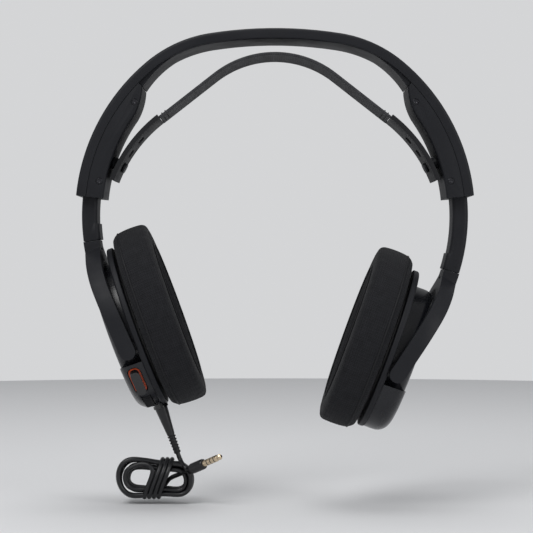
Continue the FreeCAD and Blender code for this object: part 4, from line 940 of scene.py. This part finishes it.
class HEADSET_OT_cord(bpy.types.Operator):
    """Wind the cord at its full length, and model its boot and plug"""

    bl_idname = "headset.cord"
    bl_label = "Cord"

    def execute(self, context):
        cord = context.scene.headset_cord
        curve = bpy.data.curves.new("cord", "CURVE")
        curve.dimensions = "3D"
        spline = curve.splines.new("NURBS")
        route = cord_route(cord)
        spline.points.add(len(route) - 1)
        for point, place in zip(spline.points, route):
            point.co = (*place, 1.0)
        spline.order_u = 3
        spline.use_endpoint_u = True
        spline.resolution_u = 4
        curve.bevel_depth = cord.diameter / 2
        curve.bevel_resolution = 3
        curve.use_fill_caps = True
        piece = bpy.data.objects.new("cord", curve)
        context.scene.collection.objects.link(piece)
        curve.materials.append(finish("cable_rubber"))
        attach(piece, "left_cup")
        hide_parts("cord_lead", "cord_hank", "cord_tail")
        plug, shaft = self.plug()
        boot = self.boot()
        line_length(piece)
        return {"FINISHED"}

    def plug(self):
        """The tapered grip, and the shaft with its three insulating rings."""
        start, out = PLUG_START, PLUG_WAY.normalized()
        grip_length = 0.0130
        grip = spun([(0.0, 0.0), (0.0, 0.0019), (0.0006, 0.0023), (0.0030, 0.0025), (0.0034, 0.0029),
                     (0.0118, 0.0029), (0.0126, 0.0026), (grip_length, 0.0021), (grip_length, 0.0)],
                    out, start, 32)
        grip_piece = new_mesh_piece("plug_grip_sleeve", grip, "left_cup", "cable_rubber")
        smooth(grip_piece.data, math.radians(35))
        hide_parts("plug_grip")
        tip = start + out * grip_length
        radius, groove, ring = 0.00175, 0.00166, 0.0006
        rings = (0.0030, 0.0058, 0.0086)
        profile = [(0.0, 0.0), (0.0, radius)]
        for low in rings:
            profile += [(low, radius), (low, groove), (low + ring, groove), (low + ring, radius)]
        profile += [(0.0104, radius), (0.0112, 0.00125), (0.0119, 0.00155), (0.0128, 0.00160),
                    (0.0138, 0.0008), (0.0140, 0.0)]
        shaft = spun(profile, out, tip, 32)
        shaft_piece = new_mesh_piece("plug_contacts", shaft, "left_cup", "contact_metal")
        shaft_piece.data.materials.append(finish("key_plastic"))
        for face in shaft_piece.data.polygons:
            along = (Vector(face.center) - tip).dot(out)
            if any(low < along < low + ring for low in rings):
                face.material_index = 1
        smooth(shaft_piece.data, math.radians(35))
        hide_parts("plug_shaft")
        return grip_piece, shaft_piece

    def boot(self):
        """The ribbed strain relief under the connector."""
        length, ribs, core = 0.0106, 6, 0.0017
        pitch = length / ribs
        profile = [(0.0, 0.0), (0.0, 0.0016)]
        for index in range(ribs):
            low = length * index / ribs
            swell = 0.00185 + 0.00045 * index / ribs
            profile += [(low + 0.08 * pitch, core), (low + 0.2 * pitch, swell),
                        (low + 0.62 * pitch, swell + 0.0001), (low + 0.76 * pitch, core),
                        (low + 0.98 * pitch, core)]
        profile += [(length, core), (length, 0.0)]
        form = spun(profile, -BOOT_WAY, CORD_EXIT, 28)
        boot = new_mesh_piece("cable_boot_ribs", form, "left_cup", "cable_rubber")
        smooth(boot.data, math.radians(45))
        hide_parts("cable_boot")
        return boot


# --- Stage ------------------------------------------------------------------------------------
TABLE_RADIUS = 1.06
TABLE_DROP = 0.0002
AIM = Vector((0, 0, -0.12))
LAMPS = (
    ("key", (-0.55, -0.75, 0.75), 0.7, 6.6),
    ("fill", (0.85, -0.65, 0.25), 0.7, 3.0),
    ("top", (0.0, 0.15, 0.95), 0.9, 4.6),
)


class HEADSET_OT_stage(bpy.types.Operator):
    """Set the camera, the lamps, the floor and the backdrop"""

    bl_idname = "headset.stage"
    bl_label = "Stage"

    def execute(self, context):
        scene = context.scene
        camera = bpy.data.cameras.new("camera")
        camera.lens = 116.9
        camera.sensor_width = 36.0
        camera.clip_end = 20.0
        view = bpy.data.objects.new("camera", camera)
        view.location = (-0.0046, -0.95, -0.1145)
        view.rotation_euler = (math.radians(90), 0, 0)
        scene.collection.objects.link(view)
        scene.camera = view
        scene.view_settings.view_transform = "Standard"
        self.surroundings(scene)
        self.floor()
        for name, place, size, power in LAMPS:
            lamp = bpy.data.lights.new(name, "AREA")
            lamp.shape = "DISK"
            lamp.size = size
            lamp.energy = power
            light = bpy.data.objects.new(name, lamp)
            light.location = place
            light.rotation_euler = (AIM - Vector(place)).to_track_quat("-Z", "Y").to_euler()
            scene.collection.objects.link(light)
        return {"FINISHED"}

    def floor(self):
        """A pale round table top under the cord."""
        low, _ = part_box("cord_hank")
        form = bmesh.new()
        bmesh.ops.create_circle(form, cap_ends=True, segments=160, radius=TABLE_RADIUS)
        bmesh.ops.translate(form, verts=form.verts, vec=(0, 0, low.z - TABLE_DROP))
        bmesh.ops.recalc_face_normals(form, faces=form.faces)
        for face in form.faces:
            if face.normal.z < 0:
                face.normal_flip()
        mesh = bpy.data.meshes.new("table")
        form.to_mesh(mesh)
        form.free()
        table = bpy.data.objects.new("table", mesh)
        bpy.context.scene.collection.objects.link(table)
        material, _, shader = finish_base("table_top", 0.9)
        shader.inputs["Base Color"].default_value = (0.72, 0.725, 0.735, 1)
        mesh.materials.append(material)

    def surroundings(self, scene):
        """Soft even light, seen by the camera as a pale wall."""
        world = bpy.data.worlds.new("studio")
        world.use_nodes = True
        tree = world.node_tree
        light = tree.nodes["Background"]
        light.inputs["Color"].default_value = (0.86, 0.87, 0.89, 1)
        light.inputs["Strength"].default_value = 0.42
        wall = linked(tree, "ShaderNodeBackground", Color=(0.66, 0.665, 0.675, 1), Strength=1.0)
        path = tree.nodes.new("ShaderNodeLightPath")
        seen = linked(tree, "ShaderNodeMath", {"operation": "MAXIMUM"}, i0=path.outputs["Is Camera Ray"],
                      i1=path.outputs["Is Transmission Ray"])
        both = linked(tree, "ShaderNodeMixShader", i0=seen.outputs[0], i1=light.outputs[0],
                      i2=wall.outputs[0])
        tree.links.new(both.outputs[0], tree.nodes["World Output"].inputs["Surface"])
        scene.world = world


# --- Panel and registration -------------------------------------------------------------------
class HEADSET_PT_panel(bpy.types.Panel):
    """Lists the steps that make the headset"""

    bl_idname = "HEADSET_PT_panel"
    bl_label = "Gaming headset"
    bl_space_type = "VIEW_3D"
    bl_region_type = "UI"
    bl_category = "Headset"

    def draw(self, context):
        for step in STEPS:
            self.layout.operator(step.bl_idname)
        for group in SETTINGS:
            box = self.layout.box()
            settings = getattr(context.scene, group)
            for name in settings.bl_rna.properties.keys():
                if name not in ("rna_type", "name"):
                    box.prop(settings, name)


SETTINGS = {"headset_padding": HeadsetPadding, "headset_cord": HeadsetCord, "headset_colours": HeadsetColours}
STEPS = (
    HEADSET_OT_stage,
    HEADSET_OT_finishes,
    HEADSET_OT_cord,
    HEADSET_OT_casings,
    HEADSET_OT_cushions,
    HEADSET_OT_strap,
    HEADSET_OT_controls,
)


def register():
    for cls in (*SETTINGS.values(), *STEPS, HEADSET_PT_panel):
        bpy.utils.register_class(cls)
    for name, group in SETTINGS.items():
        setattr(bpy.types.Scene, name, PointerProperty(type=group))


def unregister():
    for name in SETTINGS:
        delattr(bpy.types.Scene, name)
    for cls in reversed((*SETTINGS.values(), *STEPS, HEADSET_PT_panel)):
        bpy.utils.unregister_class(cls)


def main():
    register()
    bpy.ops.headset.stage()
    bpy.ops.headset.finishes()
    bpy.ops.headset.cord()
    bpy.ops.headset.casings()
    bpy.ops.headset.cushions()
    bpy.ops.headset.strap()
    bpy.ops.headset.controls()


if __name__ == "__main__":
    main()
